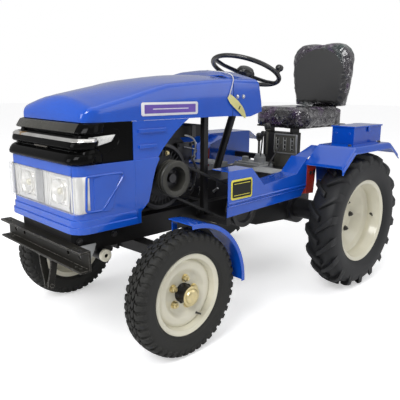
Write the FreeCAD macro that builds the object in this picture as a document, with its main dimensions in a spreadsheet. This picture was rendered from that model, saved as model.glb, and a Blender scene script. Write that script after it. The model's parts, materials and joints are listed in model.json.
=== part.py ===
"""Compact belt-driven tractor, modelled as separate pieces in millimetres.

Frame: +Z up, the nose points to -Y, the tractor's left side is +X, and the
origin lies on the ground at the middle of the vehicle's bounding box.
"""
import FreeCAD, Part
import math
import os
import Sketcher

DOC = FreeCAD.newDocument("compact_tractor")
PIECES = []

SIZES = {
    # driving layout
    "wheelbase": 1200, "front_reach": 394, "tail_reach": 486,
    "sheet_gauge": 4, "running_gap": 0.3, "seat_gap": 0.3,
    # rear wheels
    "rear_tyre_radius": 370, "rear_tyre_width": 160, "rear_track": 1054,
    "rear_bead_radius": 205, "rear_flange_radius": 224, "rear_rim_width": 120,
    "lug_depth": 22, "lug_width": 30, "bead_clearance": 1.2,
    # front wheels
    "front_tyre_radius": 262, "front_tyre_width": 110, "front_track": 890,
    "front_bead_radius": 152, "front_flange_radius": 170, "front_rim_width": 78,
    "rim_gauge": 5, "hub_radius": 38, "guard_gap": 32, "guard_inset": 12,
    # frame
    "rail_half_gap": 150, "rail_width": 50, "rail_height": 94, "frame_top": 534,
    "rail_tail": 730, "bumper_half": 335, "bumper_height": 80, "bumper_depth": 46,
    "bumper_top": 490, "plate_gauge": 8, "cross_tube_radius": 24, "cross_tube_ahead": 218,
    # front axle and steering
    "kingpin_half": 335, "kingpin_radius": 14, "beam_height": 52, "beam_width": 60,
    "beam_top": 425, "pivot_radius": 15, "arm_length": 110, "arm_height": 332,
    "steer_radius": 199, "steer_tube": 13, "steer_y": 875, "steer_z": 1162,
    "steer_tilt": 23, "column_radius": 20, "link_x": 230, "link_z": 478,
    "pitman_y": 600, "pitman_z": 578, "gear_top": 650,
    # nose and hood
    "body_half": 262, "body_flare": 9, "nose_front": 352, "nose_top": 790, "grille_top": 942,
    "nose_corner": 40, "ledge_height": 14, "seam_y": 93, "hood_rear": 483, "cowl_front": 488,
    "hood_top": 1132, "lamp_low": 611, "lamp_high": 752, "lamp_half": 240, "arch_reach": 208,
    # engine
    "engine_x": 10, "engine_half": 120, "engine_front": 60, "engine_rear": 330,
    "engine_top": 850, "tank_height": 52, "flywheel_width": 46,
    "radiator_ahead": 250, "radiator_half": 190, "radiator_depth": 70, "crank_y": 104, "crank_z": 694,
    "drive_pulley_radius": 78,
    "flywheel_radius": 145, "belt_beyond": 10, "pulley_width": 50,
    "clutch_y": 550, "clutch_z": 488, "clutch_radius": 88, "clutch_shaft_radius": 18,
    # gearbox and rear axle
    "gearbox_front": 500, "gearbox_tail": 130, "gearbox_top": 620, "gearbox_bottom": 330,
    "axle_tube_radius": 58, "axle_shaft_radius": 25, "drawbar_reach": 140, "pin_radius": 12.5,
    # steps, fenders and toolbox
    "step_front": 312, "step_width": 100, "step_top": 715, "step_back": 603,
    "step_floor": 648, "step_low": 507, "step_crease": 54, "fold_inset": 3, "post_y": 313,
    "outrigger_drop": 38,
    "outrigger_deep": 26, "step_bar_y": 700, "foot_plate_y": 745, "foot_plate_length": 128,
    "fender_gap": 47, "fender_outer": 620, "deck_z": 785, "deck_ahead": 190,
    "deck_behind": 200, "skirt_depth": 45, "fender_flange": 10, "inner_wall_low": 570, "stay_length": 84,
    "stay_gauge": 8,
    "toolbox_ahead": 63, "toolbox_length": 300, "toolbox_width": 130, "toolbox_height": 84,
    # seat and gate
    "seat_half": 204, "seat_ahead": 50, "seat_under": 850, "seat_thick": 98, "seat_corner": 100,
    "back_low": 952, "back_flare": 31, "back_top": 1360, "back_thick": 88, "strap_gauge": 10,
    "gate_ahead": 100, "gate_left": 199, "gate_right": 45, "gate_top": 812,
}


class Size:
    """A length or angle from the sheet, kept as a number and as its expression."""

    def __init__(self, value, text):
        self.value = float(value)
        self.text = text

    def join(self, sign, other, value):
        """Return the Size of two terms joined by an arithmetic sign."""
        return Size(value, "(%s %s %s)" % (self.text, sign, size(other).text))

    def __add__(self, other):
        return self.join("+", other, self.value + size(other).value)

    def __sub__(self, other):
        return self.join("-", other, self.value - size(other).value)

    def __mul__(self, other):
        return self.join("*", other, self.value * size(other).value)

    def __truediv__(self, other):
        return self.join("/", other, self.value / size(other).value)

    def __radd__(self, other):
        return size(other) + self

    def __rsub__(self, other):
        return size(other) - self

    def __rmul__(self, other):
        return size(other) * self

    def __neg__(self):
        return Size(-self.value, "(0 - %s)" % self.text)


def size(number):
    """Return a plain number as a Size, and a Size as itself."""
    if isinstance(number, Size):
        return number
    return Size(number, "%.6g" % number if number >= 0 else "(0 - %.6g)" % -number)


def cosine(angle):
    """Cosine of a Size in degrees."""
    return Size(math.cos(math.radians(angle.value)), "cos(%s * 1deg)" % angle.text)


def sine(angle):
    """Sine of a Size in degrees."""
    return Size(math.sin(math.radians(angle.value)), "sin(%s * 1deg)" % angle.text)


def make_sheet():
    """Write the driving sizes into the document's spreadsheet, one row each."""
    sheet = DOC.addObject("Spreadsheet::Sheet", "Dims")
    for row, (alias, number) in enumerate(SIZES.items(), start=1):
        sheet.set("A%d" % row, alias)
        sheet.set("B%d" % row, str(number))
        sheet.setAlias("B%d" % row, alias)
    DOC.recompute()
    return {alias: Size(getattr(sheet, alias), "Dims." + alias) for alias in SIZES}


class Named:
    """Gives each sheet size as an attribute."""

    def __init__(self, table):
        self.__dict__.update(table)


D = Named(make_sheet())
FRONT = (D.front_reach - D.wheelbase - D.tail_reach) / 2
REAR = FRONT + D.wheelbase
TAIL = REAR + D.tail_reach
BELT_X = D.body_half + D.belt_beyond
FENDER_INNER = (D.rear_track - D.rear_tyre_width) / 2 - D.fender_gap
STEP_INNER = FENDER_INNER - D.step_width
LUGS_PER_SIDE = 18
IDENTITY = FreeCAD.Rotation()
TURNS = {
    "x": FreeCAD.Rotation(FreeCAD.Vector(0, 1, 0), 90),
    "y": FreeCAD.Rotation(FreeCAD.Vector(1, 0, 0), -90),
    "z": IDENTITY,
}
PLANES = {
    "yz": (FreeCAD.Rotation(0.5, 0.5, 0.5, 0.5), FreeCAD.Vector(1, 0, 0)),
    "xz": (FreeCAD.Rotation(FreeCAD.Vector(1, 0, 0), 90), FreeCAD.Vector(0, 1, 0)),
    "xy": (IDENTITY, FreeCAD.Vector(0, 0, 1)),
}


def bind(thing, path, value):
    """Bind a property of an object to a size."""
    thing.setExpression(path, size(value).text)


def place(thing, x=0, y=0, z=0, turn=IDENTITY):
    """Place an object, its position bound to the sheet."""
    thing.Placement = FreeCAD.Placement(FreeCAD.Vector(), turn)
    bind(thing, "Placement.Base.x", x)
    bind(thing, "Placement.Base.y", y)
    bind(thing, "Placement.Base.z", z)
    return thing


def block(name, xs, ys, zs):
    """Box between pairs of x, y and z."""
    solid = DOC.addObject("Part::Box", name)
    for path, (low, high) in zip(("Length", "Width", "Height"), (xs, ys, zs)):
        bind(solid, path, size(high) - low)
    return place(solid, xs[0], ys[0], zs[0])


def rod(name, axis, start, end, across, radius):
    """Cylinder along an axis from start to end, centred on the two across values."""
    solid = DOC.addObject("Part::Cylinder", name)
    bind(solid, "Radius", radius)
    bind(solid, "Height", size(end) - start)
    spot = {
        "x": (start, across[0], across[1]),
        "y": (across[0], start, across[1]),
        "z": (across[0], across[1], start),
    }[axis]
    return place(solid, *spot, turn=TURNS[axis])


def outline(name, turn, points):
    """Closed sketch through points given as pairs of sizes."""
    sketch = DOC.addObject("Sketcher::SketchObject", name + "_sketch")
    sketch.Placement = FreeCAD.Placement(FreeCAD.Vector(), turn)
    corners = [(size(u), size(v)) for u, v in points]
    count = len(corners)
    spots = [FreeCAD.Vector(u.value, v.value, 0) for u, v in corners]
    for index in range(count):
        sketch.addGeometry(Part.LineSegment(spots[index], spots[(index + 1) % count]))
    for index in range(count):
        sketch.addConstraint(Sketcher.Constraint("Coincident", index, 2, (index + 1) % count, 1))
    for index, corner in enumerate(corners):
        for kind, value in zip(("DistanceX", "DistanceY"), corner):
            number = sketch.addConstraint(Sketcher.Constraint(kind, -1, 1, index, 1, value.value))
            sketch.setExpression("Constraints[%d]" % number, value.text)
    return sketch


def prism(name, plane, points, start, end):
    """Outline on a plane, extruded along the plane's own axis from start to end."""
    turn, along = PLANES[plane]
    solid = DOC.addObject("Part::Extrusion", name)
    solid.Base = outline(name, turn, points)
    solid.DirMode = "Custom"
    solid.Dir = along
    solid.Solid = True
    bind(solid, "LengthFwd", size(end) - start)
    shift = {"yz": (start, 0, 0), "xz": (0, start, 0), "xy": (0, 0, start)}[plane]
    return place(solid, *shift)


def turned(name, points, spot, turn=IDENTITY):
    """Profile of (along, radius) points spun about X, then placed at a spot."""
    solid = DOC.addObject("Part::Revolution", name)
    solid.Source = outline(name, IDENTITY, points)
    solid.Axis = FreeCAD.Vector(1, 0, 0)
    solid.Angle = 360
    solid.Solid = True
    return place(solid, *spot, turn=turn)


def loft(name, sections):
    """Ruled loft through outlines given as (y, points) in the XZ plane."""
    solid = DOC.addObject("Part::Loft", name)
    profiles = []
    for number, (along, points) in enumerate(sections):
        sketch = outline("%s_%d" % (name, number), PLANES["xz"][0], points)
        bind(sketch, "Placement.Base.y", along)
        profiles.append(sketch)
    solid.Sections = profiles
    solid.Solid = True
    solid.Ruled = True
    return solid


def fuse(name, *solids):
    """Union of solids."""
    union = DOC.addObject("Part::MultiFuse", name)
    union.Shapes = list(solids)
    union.Refine = True
    return union


def cut(name, base, *tools):
    """Base less its tools."""
    result = DOC.addObject("Part::Cut", name)
    result.Base = base
    result.Tool = tools[0] if len(tools) == 1 else fuse(name + "_tools", *tools)
    result.Refine = True
    return result


def common(name, one, other):
    """Overlap of two solids."""
    result = DOC.addObject("Part::Common", name)
    result.Base = one
    result.Tool = other
    return result


def arc(middle_u, middle_v, radius, start, end, steps=4):
    """Points along an arc from start to end degrees round a middle point."""
    angles = [math.radians(start + (end - start) * step / steps) for step in range(steps + 1)]
    return [(middle_u + radius * math.cos(angle), middle_v + radius * math.sin(angle)) for angle in angles]


def faceted(name, faces):
    """Solid bounded by flat faces, each given as a loop of points."""
    shell = Part.makeShell([Part.Face(Part.makePolygon(loop + loop[:1])) for loop in faces])
    shell.sewShape()
    solid = DOC.addObject("Part::Feature", name)
    solid.Shape = Part.makeSolid(shell)
    return solid


def mirrored(name, source):
    """Copy of a solid on the other side of the tractor's middle."""
    twin = DOC.addObject("Part::Mirroring", name)
    twin.Source = source
    twin.Normal = FreeCAD.Vector(1, 0, 0)
    return twin


def piece(label, solid):
    """Keep a finished solid as a named piece."""
    solid.Label = label
    PIECES.append(solid)
    return solid


def pair(label, solid):
    """Keep a left-hand piece and its mirror image, each in a node of its own."""
    piece(label + "_left", solid)
    return piece(label + "_right", mirrored(label + "_mirror", solid))


def twins(label, solid):
    """Keep a left-hand solid and its mirror image together in one node."""
    both = DOC.addObject("Part::Compound", label + "_twins")
    both.Links = [solid, mirrored(label + "_mirror", solid)]
    return piece(label, both)


# ---------------------------------------------------------------- chassis

def frame_rails():
    """Two side rails tied by cross members ahead of, under and behind the engine."""
    low = D.frame_top - D.rail_height
    nose = FRONT - D.front_reach + D.bumper_depth
    outer = D.rail_half_gap + D.rail_width
    tail = FRONT + D.rail_tail
    left = block("rail_left", (D.rail_half_gap, outer), (nose, tail), (low, D.frame_top))
    right = block("rail_right", (-outer, -D.rail_half_gap), (nose, tail), (low, D.frame_top))
    members = [left, right]
    for number, at in enumerate((nose, FRONT - 75, FRONT + 65, FRONT + 380)):
        deep = 60 if number == 0 else 40
        members.append(block("cross_member_%d" % number, (-D.rail_half_gap, D.rail_half_gap),
                             (at, at + deep), (D.frame_top - 60, D.frame_top)))
    shelf = block("nose_shelf", (-D.body_half, D.body_half), (FRONT - D.nose_front + 3, FRONT - D.seam_y),
                  (D.frame_top - D.sheet_gauge, D.frame_top))
    shaft = rod("clutch_shaft_bore", "x", D.rail_half_gap, outer + 1, (FRONT + D.clutch_y, D.clutch_z),
                D.clutch_shaft_radius + D.running_gap)
    bored = cut("frame_bored",
                fuse("frame_union", *members, shelf, *cross_tube(), *outriggers(), *axle_bracket()),
                cross_tube_bore(), shaft)
    piece("frame_rails", bored)


def front_channel():
    """Weight carrier channel, open to the front, with holes in web and flanges."""
    front = FRONT - D.front_reach
    back = front + D.bumper_depth
    low = D.bumper_top - D.bumper_height
    outer = block("channel_outer", (-D.bumper_half, D.bumper_half), (front, back), (low, D.bumper_top))
    hollow = block("channel_hollow", (-D.bumper_half - 1, D.bumper_half + 1),
                   (front - 1, back - D.plate_gauge), (low + D.plate_gauge, D.bumper_top - D.plate_gauge))
    tools = [hollow]
    middle = (low + D.bumper_top) / 2
    for number, share in enumerate((-0.8, -0.55, 0.55, 0.8)):
        across = D.bumper_half * share
        tools.append(rod("web_hole_%d" % number, "y", front, back + 1, (across, middle), 9))
    for number, share in enumerate((-0.9, -0.8, 0.8, 0.9)):
        across = D.bumper_half * share
        tools.append(rod("flange_hole_%d" % number, "z", low - 1, D.bumper_top + 1,
                         (across, front + (D.bumper_depth - D.plate_gauge) / 2), 7))
    piece("front_channel", cut("front_channel_cut", outer, *tools))


def cross_tube():
    """Cross tube under the rails behind the channel, with a hanger to each rail."""
    radius = D.cross_tube_radius
    low = D.frame_top - D.rail_height
    span = D.rail_half_gap + D.rail_width + 36
    y = FRONT - D.cross_tube_ahead
    solids = [rod("cross_tube_body", "x", -span, span, (y, low - radius), radius)]
    for number, side in enumerate((-1, 1)):
        middle = side * (D.rail_half_gap + D.rail_width / 2)
        solids.append(block("tube_hanger_%d" % number, (middle - 20, middle + 20), (y - 20, y + 20),
                            (low - radius, low)))
    return solids


def cross_tube_bore():
    """Bore through the cross tube."""
    radius = D.cross_tube_radius
    span = D.rail_half_gap + D.rail_width + 37
    spot = (FRONT - D.cross_tube_ahead, D.frame_top - D.rail_height - radius)
    return rod("cross_tube_bore", "x", -span, span, spot, radius - 9)


def axle_bracket():
    """Two plates under the frame that hold the front axle's centre pin."""
    low = D.beam_top - D.beam_height - 10
    gap = D.running_gap
    pin_z = D.beam_top - D.beam_height / 2
    solids = []
    for number, side in enumerate((-1, 1)):
        near = FRONT + side * (D.beam_width / 2 + gap)
        far = near + side * 12
        ys = (near, far) if side > 0 else (far, near)
        solids.append(block("bracket_plate_%d" % number, (-60, 60), ys, (low, D.frame_top - 60)))
    pin = rod("bracket_pin", "y", FRONT - D.beam_width / 2 - 25, FRONT + D.beam_width / 2 + 25,
              (0, pin_z), D.pivot_radius)
    return solids + [pin]


def front_axle():
    """Beam with a kingpin housing at each end and a bore for the centre pin."""
    low = D.beam_top - D.beam_height
    outer = D.kingpin_half
    half = D.beam_width / 2
    beam = prism("beam_bar", "xz",
                 [(-outer, low + 8), (-90, low), (90, low), (outer, low + 8),
                  (outer, D.beam_top), (-outer, D.beam_top)], FRONT - half, FRONT + half)
    solids = [beam]
    bores = [rod("beam_pin_bore", "y", FRONT - half - 1, FRONT + half + 1,
                 (0, low + D.beam_height / 2), D.pivot_radius + D.running_gap)]
    for number, side in enumerate((-1, 1)):
        at = (side * outer, FRONT)
        solids.append(rod("kingpin_housing_%d" % number, "z", low - 12, D.beam_top + 20, at,
                          D.kingpin_radius + 14))
        bores.append(rod("kingpin_bore_%d" % number, "z", low - 20, D.beam_top + 30, at,
                         D.kingpin_radius + D.running_gap))
    piece("front_axle_beam", cut("front_axle_cut", fuse("front_axle_union", *solids), *bores))


def knuckle(side, name):
    """Kingpin, stub axle and steering arm of one front wheel."""
    low = D.beam_top - D.beam_height - 12
    at = (side * D.kingpin_half, FRONT)
    gap = D.running_gap
    pin = rod(name + "_pin", "z", D.front_tyre_radius, D.beam_top + 44, at, D.kingpin_radius)
    collar = rod(name + "_collar", "z", D.front_tyre_radius - 30, low - gap, at, D.kingpin_radius + 14)
    cap = rod(name + "_cap", "z", D.beam_top + 20 + gap, D.beam_top + 34, at, D.kingpin_radius + 12)
    inner = D.kingpin_half
    outer = D.front_track / 2 + 32
    stub_x = (inner, outer) if side > 0 else (-outer, -inner)
    stub = rod(name + "_stub", "x", *stub_x, (FRONT, D.front_tyre_radius), 16)
    arm = block(name + "_arm", (side * D.kingpin_half - 13, side * D.kingpin_half + 13),
                (FRONT, FRONT + D.arm_length + 16), (D.arm_height - 14, D.arm_height))
    joint = rod(name + "_arm_pin", "z", D.arm_height - 14, D.arm_height + 24,
                (side * D.kingpin_half, FRONT + D.arm_length), 8)
    return fuse(name + "_union", pin, collar, cap, stub, arm, joint)


def knuckles():
    """Left and right knuckle; the right one also carries the drag link's arm."""
    piece("knuckle_left", knuckle(1, "knuckle_l"))
    right = knuckle(-1, "knuckle_r")
    arm_low = D.beam_top + 34
    arm = block("link_arm", (-D.kingpin_half, -D.link_x + 14), (FRONT - 13, FRONT + 13),
                (arm_low, arm_low + 10))
    stud = rod("link_stud", "z", arm_low, D.link_z + 12, (-D.link_x, FRONT), 8)
    piece("knuckle_right", fuse("knuckle_right_union", right, arm, stud))


def tie_rod():
    """Rod that joins the two steering arms, with an eye round each pin."""
    gap = D.running_gap
    middle = D.arm_height + gap + 11
    at_y = FRONT + D.arm_length
    rod_end = D.kingpin_half - 10
    solids = [rod("tie_bar", "x", -rod_end, rod_end, (at_y, middle), 9)]
    bores = []
    for number, side in enumerate((-1, 1)):
        at = (side * D.kingpin_half, at_y)
        solids.append(rod("tie_eye_%d" % number, "z", D.arm_height + gap, D.arm_height + 22, at, 17))
        bores.append(rod("tie_bore_%d" % number, "z", D.arm_height - 1, D.arm_height + 30, at,
                         8 + gap))
    piece("tie_rod", cut("tie_rod_cut", fuse("tie_rod_union", *solids), *bores))


def drag_link():
    """Rod from the right knuckle's arm back to the pitman arm."""
    gap = D.running_gap
    low = D.beam_top + 44 + gap
    high = D.link_z + 10
    middle = (low + high) / 2
    tail = FRONT + D.pitman_y
    bar = rod("link_bar", "y", FRONT + 10, tail, (-D.link_x, middle), 8)
    eye = rod("link_eye", "z", low, high, (-D.link_x, FRONT), 17)
    end = rod("link_end", "z", low, high, (-D.link_x, tail), 14)
    bore = rod("link_bore", "z", low - 1, high + 1, (-D.link_x, FRONT), 8 + gap)
    piece("drag_link", cut("drag_link_cut", fuse("drag_link_union", bar, eye, end), bore))


def pitman_arm():
    """Arm that swings below the steering gear and moves the drag link."""
    y = FRONT + D.pitman_y
    near = -D.rail_half_gap - D.rail_width - 5
    plate = block("pitman_plate", (near - 10, near), (y - 13, y + 13), (D.link_z + 2, D.pitman_z))
    boss = rod("pitman_boss", "x", near - 10, near, (y, D.pitman_z), 20)
    foot = rod("pitman_foot", "x", near - 10, near, (y, D.link_z + 2), 13)
    stud = rod("pitman_stud", "x", 14 - D.link_x + D.seat_gap, near, (y, D.link_z + 2), 7)
    shaft = rod("pitman_shaft", "x", near - 10, near + 40, (y, D.pitman_z), 12)
    piece("pitman_arm", fuse("pitman_union", plate, boss, foot, stud, shaft))


def steering_gear():
    """Solids of the gear housing on the gearbox, and the bore for the pitman shaft."""
    y = FRONT + D.pitman_y
    ys = (y - 45, y + 60)
    rail_out = -D.rail_half_gap - D.rail_width
    beside = block("gear_beside", (rail_out, -D.rail_half_gap), ys, (D.frame_top, D.gear_top))
    over = block("gear_over", (-D.rail_half_gap, 30), ys, (D.gearbox_top, D.gear_top))
    bore = rod("gear_bore", "x", rail_out - 1, rail_out + 42, (y, D.pitman_z), 12 + D.running_gap)
    return [beside, over], bore


def steering_column():
    """Tilted tube from the gear housing to the steering wheel's hub."""
    turn = FreeCAD.Rotation(FreeCAD.Vector(1, 0, 0), -D.steer_tilt.value)
    tube = DOC.addObject("Part::Cylinder", "column_tube")
    bind(tube, "Radius", D.column_radius)
    drop = (D.steer_z - D.gear_top) / cosine(D.steer_tilt) + 30
    bind(tube, "Height", drop - 22)
    place(tube, 0, FRONT + D.steer_y - sine(D.steer_tilt) * drop,
          D.steer_z - cosine(D.steer_tilt) * drop, turn)
    base = block("column_base", (-60, 60), (FRONT + 400, FRONT + 900), (D.gear_top - 90, D.gear_top))
    piece("steering_column", cut("column_cut", tube, base))


def steering_wheel():
    """Rim, three spokes, hub and spinner knob, tilted towards the driver."""
    turn = FreeCAD.Rotation(FreeCAD.Vector(1, 0, 0), -D.steer_tilt.value)
    rim = DOC.addObject("Part::Torus", "wheel_rim")
    bind(rim, "Radius1", D.steer_radius - D.steer_tube)
    bind(rim, "Radius2", D.steer_tube)
    hub = rod("wheel_hub", "z", -22 + D.running_gap, 16, (0, 0), 30)
    spokes = [rim, hub]
    reach = D.steer_radius - D.steer_tube
    for number, angle in enumerate((90, 210, 330)):
        spoke = DOC.addObject("Part::Box", "wheel_spoke_%d" % number)
        bind(spoke, "Length", reach)
        bind(spoke, "Width", 22)
        bind(spoke, "Height", 8)
        heading = FreeCAD.Rotation(FreeCAD.Vector(0, 0, 1), angle)
        side = heading.multVec(FreeCAD.Vector(0, -11, 0))
        place(spoke, side.x, side.y, -4, heading)
        spokes.append(spoke)
    knob = rod("wheel_knob", "z", 0, 46, (reach * 0.64, reach * 0.766), 14)
    wheel = fuse("steering_wheel_union", *spokes, knob)
    place(wheel, 0, FRONT + D.steer_y, D.steer_z, turn)
    piece("steering_wheel", wheel)


# ---------------------------------------------------------------- wheels

def tyre_profile(bead, flange, radius, width, rim_width):
    """Tyre section as (along, radius) numbers, from one bead round the tread to the other."""
    inside = rim_width / 2 - D.rim_gauge
    half = width / 2
    side = (flange + radius) / 2
    left = [(-inside, bead + D.bead_clearance), (-inside, flange + 2), (-half, side),
            (-half * 0.97, radius - 24),
            (-half * 0.78, radius - 5)]
    points = left + [(size(0), radius)] + [(-along, out) for along, out in reversed(left)]
    return [(size(along).value, size(out).value) for along, out in points]


def ring_faces(profile, count):
    """Faces of a section carried round the X axis in flat steps."""
    def spot(number, index):
        angle = 2 * math.pi * index / count
        along, out = profile[number % len(profile)]
        return FreeCAD.Vector(along, out * math.cos(angle), out * math.sin(angle))
    return [[spot(number, index), spot(number + 1, index), spot(number + 1, index + 1),
             spot(number, index + 1)]
            for index in range(count) for number in range(len(profile))]


def lug_faces(side, heading, tip, depth, half_width, width):
    """Faces of one lug that runs from the tread's middle out and back to the shoulder."""
    stations = [(-6, 0, 0, 0.8), (0.5, 5.6, 3, 0.9), (0.96, 11.2, 16, 1.15)]
    rings = []
    for share, swing, drop, broad in stations:
        along = side * (share if share < 0 else share * half_width)
        angle = math.radians(heading - swing)
        loop = []
        for out, sign, grow in ((tip - depth - 12 - drop, -1, 1.2), (tip - depth - 12 - drop, 1, 1.2),
                                (tip - drop, 1, 1), (tip - drop, -1, 1)):
            turn = angle + sign * width * broad * grow / 2 / tip
            loop.append(FreeCAD.Vector(along, out * math.cos(turn), out * math.sin(turn)))
        rings.append(loop)
    faces = [rings[0][:3], rings[0][2:] + rings[0][:1], rings[-1][:3], rings[-1][2:] + rings[-1][:1]]
    for near, far in zip(rings, rings[1:]):
        for index in range(4):
            after = (index + 1) % 4
            faces += [[near[index], near[after], far[after]], [near[index], far[after], far[index]]]
    return faces


def rim_barrel(name, bead, flange, width):
    """Rolled rim: a barrel with a flange at each edge, spun about X."""
    half = width / 2
    thick = D.rim_gauge
    return turned(name, [(-half, bead - thick), (-half, flange), (-half + thick, flange),
                         (-half + thick, bead), (half - thick, bead), (half - thick, flange),
                         (half, flange), (half, bead - thick)], (0, 0, 0))


def front_wheel():
    """Rim with its disc, hub with its cap, and tyre; all spun about X."""
    spot = (D.front_track / 2, FRONT, D.front_tyre_radius)
    barrel = rim_barrel("front_barrel", D.front_bead_radius, D.front_flange_radius, D.front_rim_width)
    thick = D.rim_gauge
    edge = D.front_bead_radius - 2
    disc = turned("front_disc", [(0, D.hub_radius), (0, 88), (14, 102), (14, 128), (4, edge),
                                 (4 + thick, edge),
                                 (14 + thick, 128), (14 + thick, 100), (thick, 86), (thick, D.hub_radius)],
                  (0, 0, 0))
    rim = fuse("front_rim_union", barrel, disc)
    place(rim, *spot)
    pair("front_rim", rim)
    bore = 16 + D.running_gap
    hub = turned("front_hub_spun", [(-36, bore), (-36, D.hub_radius), (-8, D.hub_radius), (-8, 62),
                                    (-D.seat_gap, 62), (-D.seat_gap, D.hub_radius - D.seat_gap),
                                    (34, D.hub_radius - 6), (36, 34), (44, 28), (50, 14), (50, 0), (34, 0),
                                    (34, bore)], spot)
    pair("front_hub", hub)
    profile = tyre_profile(D.front_bead_radius, D.front_flange_radius, D.front_tyre_radius,
                           D.front_tyre_width, D.front_rim_width)
    tyre = faceted("front_tyre_ring", ring_faces(profile, 32))
    place(tyre, *spot)
    pair("front_tyre", tyre)


def rear_wheel():
    """Deep-dished rim, hub flange with its shaft, and tyre with lugs set in a V."""
    spot = (D.rear_track / 2, REAR, D.rear_tyre_radius)
    thick = D.rim_gauge
    barrel = rim_barrel("rear_barrel", D.rear_bead_radius, D.rear_flange_radius, D.rear_rim_width)
    edge = D.rear_bead_radius - 2
    disc = turned("rear_disc", [(-70, D.hub_radius), (-70, 104), (-20, 150), (-20, edge),
                                (-20 + thick, edge), (-20 + thick, 147), (-70 + thick, 101),
                                (-70 + thick, D.hub_radius)], (0, 0, 0))
    rim = fuse("rear_rim_union", barrel, disc)
    place(rim, *spot)
    pair("rear_rim", rim)
    shaft = D.axle_shaft_radius
    inner = -D.rear_track / 2 + 330
    hub = turned("rear_hub_spun", [(inner, 0), (inner, shaft), (-90, shaft), (-90, 75),
                                   (-70 - D.seat_gap, 75),
                                   (-70 - D.seat_gap, D.hub_radius - D.seat_gap),
                                   (-50, D.hub_radius - D.seat_gap), (-50, 0)], spot)
    pair("rear_hub", hub)
    profile = tyre_profile(D.rear_bead_radius, D.rear_flange_radius, D.rear_tyre_radius - D.lug_depth,
                           D.rear_tyre_width, D.rear_rim_width)
    carcass = faceted("rear_carcass", ring_faces(profile, 36))
    pitch = 360 / LUGS_PER_SIDE
    lugs = []
    for side, lead in ((1, 0), (-1, pitch / 2)):
        for number in range(LUGS_PER_SIDE):
            faces = lug_faces(side, number * pitch + lead, D.rear_tyre_radius.value, D.lug_depth.value,
                              D.rear_tyre_width.value / 2, D.lug_width.value)
            lugs.append(faceted("lug_%d_%d" % (side + 1, number), faces))
    tyre = fuse("rear_tyre_union", carcass, *lugs)
    place(tyre, *spot)
    pair("rear_tyre", tyre)


# ---------------------------------------------------------------- driveline

def gearbox():
    """Gearbox between the rail tails, with the steering gear on it and an axle tube each side."""
    half = D.rail_half_gap
    case = prism("gearbox_case", "yz",
                 [(FRONT + D.gearbox_front, D.gearbox_bottom + 100),
                  (FRONT + D.gearbox_front + 320, D.gearbox_bottom),
                  (REAR + D.gearbox_tail - 60, D.gearbox_bottom - 30),
                  (REAR + D.gearbox_tail, D.gearbox_bottom + 20),
                  (REAR + D.gearbox_tail, D.gearbox_top - 60),
                  (REAR + D.gearbox_tail - 60, D.gearbox_top),
                  (FRONT + D.gearbox_front, D.gearbox_top)], -half, half)
    reach = D.rear_track / 2 - 90 - D.running_gap - 6
    tube = rod("axle_tube", "x", -reach, reach, (REAR, D.rear_tyre_radius), D.axle_tube_radius)
    flange = rod("axle_flange", "x", -half - 20, half + 20, (REAR, D.rear_tyre_radius), 92)
    bore_end = D.rear_track / 2
    bore_start = 325
    bores = []
    for number, side in enumerate((-1, 1)):
        ends = (bore_start, bore_end) if side > 0 else (-bore_end, size(-bore_start))
        bores.append(rod("axle_bore_%d" % number, "x", *ends, (REAR, D.rear_tyre_radius),
                         D.axle_shaft_radius + D.running_gap))
    housing, housing_bore = steering_gear()
    whole = fuse("gearbox_union", case, tube, flange, *housing)
    piece("gearbox_and_axle", cut("gearbox_cut", whole, *bores, housing_bore))


def clutch_pulley():
    """Grooved pulley on the gearbox's input shaft."""
    half = D.pulley_width / 2
    rim = D.clutch_radius
    profile = [(-half, 0), (-half, rim)]
    profile += groove_points(half, rim, 2)
    profile += [(half, rim), (half, rim - 22), (8, rim - 30), (8, 22), (half, 22), (half, 0)]
    pulley = turned("clutch_pulley_spun", profile, (0, 0, 0))
    shaft = rod("clutch_shaft", "x", D.rail_half_gap - BELT_X, 0, (0, 0), D.clutch_shaft_radius)
    whole = fuse("clutch_union", pulley, shaft)
    place(whole, BELT_X, FRONT + D.clutch_y, D.clutch_z)
    piece("clutch_pulley", whole)


def groove_points(half, rim, grooves):
    """Points of V grooves across a pulley's face."""
    points = []
    pitch = half * 2 / (grooves + 0.3)
    for number in range(grooves):
        middle = (number - (grooves - 1) / 2) * pitch
        points += [(middle - 8, rim), (middle - 5, rim - 12), (middle + 5, rim - 12), (middle + 8, rim)]
    return points


def drive_belts():
    """Two V belts round the engine pulley and the clutch pulley."""
    run_y = D.clutch_y - D.crank_y
    drop = D.crank_z - D.clutch_z
    pitch = D.pulley_width / 2.3
    belts = []
    for number, side in enumerate((-0.5, 0.5)):
        belt = DOC.addObject("Part::Feature", "belt_%d" % number)
        belt.Shape = belt_loop(run_y.value, drop.value, D.drive_pulley_radius.value, D.clutch_radius.value)
        place(belt, BELT_X + pitch * side, FRONT + D.crank_y, D.crank_z)
        belts.append(belt)
    compound = DOC.addObject("Part::Compound", "belt_pair")
    compound.Links = belts
    piece("drive_belts", compound)


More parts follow.
